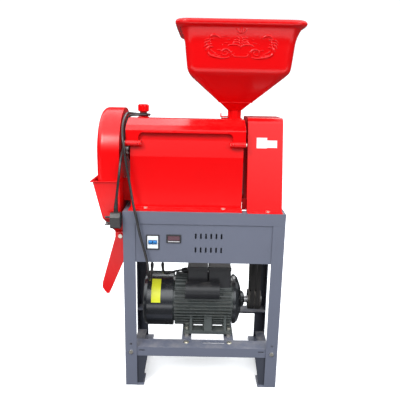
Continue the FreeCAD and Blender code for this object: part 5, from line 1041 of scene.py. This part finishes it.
class HULLER_OT_stage(bpy.types.Operator):
    """Pale floor that curves up behind, soft studio light and the camera"""

    bl_idname = "huller.stage"
    bl_label = "Studio"

    def execute(self, context):
        scene = context.scene
        scene.view_settings.view_transform = "Standard"
        clear_selection()
        bpy.ops.mesh.primitive_plane_add(size=1, location=(0, 0, 0))
        floor = context.object
        floor.scale = (FLOOR_WIDTH, FLOOR_DEPTH, 1.0)
        floor.location = (0, FLOOR_SHIFT, 0)
        bpy.ops.object.transform_apply(location=True, rotation=True, scale=True)
        bpy.ops.object.mode_set(mode="EDIT")
        bpy.ops.mesh.select_all(action="DESELECT")
        bpy.ops.object.mode_set(mode="OBJECT")
        back = max(vertex.co.y for vertex in floor.data.vertices)
        for edge in floor.data.edges:
            ends = [floor.data.vertices[index].co.y for index in edge.vertices]
            edge.select = min(ends) > back - 0.01
        bpy.ops.object.mode_set(mode="EDIT")
        bpy.ops.mesh.select_mode(type="EDGE")
        for _ in range(SWEEP_STEPS):
            bpy.ops.mesh.extrude_region_move(TRANSFORM_OT_translate={"value": (0, 0, 0)})
            bpy.ops.transform.rotate(value=math.radians(-90 / SWEEP_STEPS), orient_axis="X",
                                     center_override=(0, back, SWEEP_RADIUS))
        bpy.ops.mesh.extrude_region_move(
            TRANSFORM_OT_translate={"value": (0, 0, BACKDROP_HEIGHT)})
        bpy.ops.object.mode_set(mode="OBJECT")
        floor.name = "studio_floor"
        bpy.ops.object.shade_smooth()
        floor.data.materials.append(studio_paper())
        scene.world = studio_air()
        for name, place, aim, size, power, tint in LIGHTS:
            data = bpy.data.lights.new(name, "AREA")
            data.shape = "SQUARE"
            data.size = size
            data.energy = power
            data.color = tint
            lamp = bpy.data.objects.new(name, data)
            scene.collection.objects.link(lamp)
            lamp.location = place
            lamp.rotation_euler = (Vector(aim) - Vector(place)).to_track_quat("-Z", "Y").to_euler()
        data = bpy.data.cameras.new("studio_camera")
        data.sensor_width = 36.0
        data.lens = CAMERA_LENS_MM
        data.clip_start = 0.02
        camera = bpy.data.objects.new("studio_camera", data)
        scene.collection.objects.link(camera)
        pitch = Matrix.Rotation(math.radians(90 - CAMERA_DOWN_DEGREES), 4, "X")
        roll = Matrix.Rotation(math.radians(CAMERA_ROLL_DEGREES), 4, "Z")
        camera.matrix_world = Matrix.Translation(CAMERA_PLACE) @ (pitch @ roll)
        scene.camera = camera
        return {"FINISHED"}


# ---------------------------------------------------------------- panel and run


class HULLER_PT_pieces(bpy.types.Panel):
    """The huller's settings and its pieces"""

    bl_label = "Rice huller"
    bl_idname = "HULLER_PT_pieces"
    bl_space_type = "VIEW_3D"
    bl_region_type = "UI"
    bl_category = "Rice huller"

    def draw(self, context):
        layout = self.layout
        for settings in (context.scene.huller_colours, context.scene.huller_sizes):
            for key in settings.__annotations__:
                layout.prop(settings, key)
        for operator in OPERATORS:
            layout.operator(operator.bl_idname)


OPERATORS = (HULLER_OT_stage, HULLER_OT_cords, HULLER_OT_finishes, HULLER_OT_hopper, HULLER_OT_relief,
             HULLER_OT_controls, HULLER_OT_trim, HULLER_OT_labels)
CLASSES = (HullerColours, HullerSizes) + OPERATORS + (HULLER_PT_pieces,)


def register():
    for item in CLASSES:
        bpy.utils.register_class(item)
    bpy.types.Scene.huller_colours = bpy.props.PointerProperty(type=HullerColours)
    bpy.types.Scene.huller_sizes = bpy.props.PointerProperty(type=HullerSizes)


def unregister():
    del bpy.types.Scene.huller_colours
    del bpy.types.Scene.huller_sizes
    for item in reversed(CLASSES):
        bpy.utils.unregister_class(item)


def main():
    register()
    for operator in OPERATORS:
        group, name = operator.bl_idname.split(".")
        getattr(getattr(bpy.ops, group), name)()


if __name__ == "__main__":
    main()
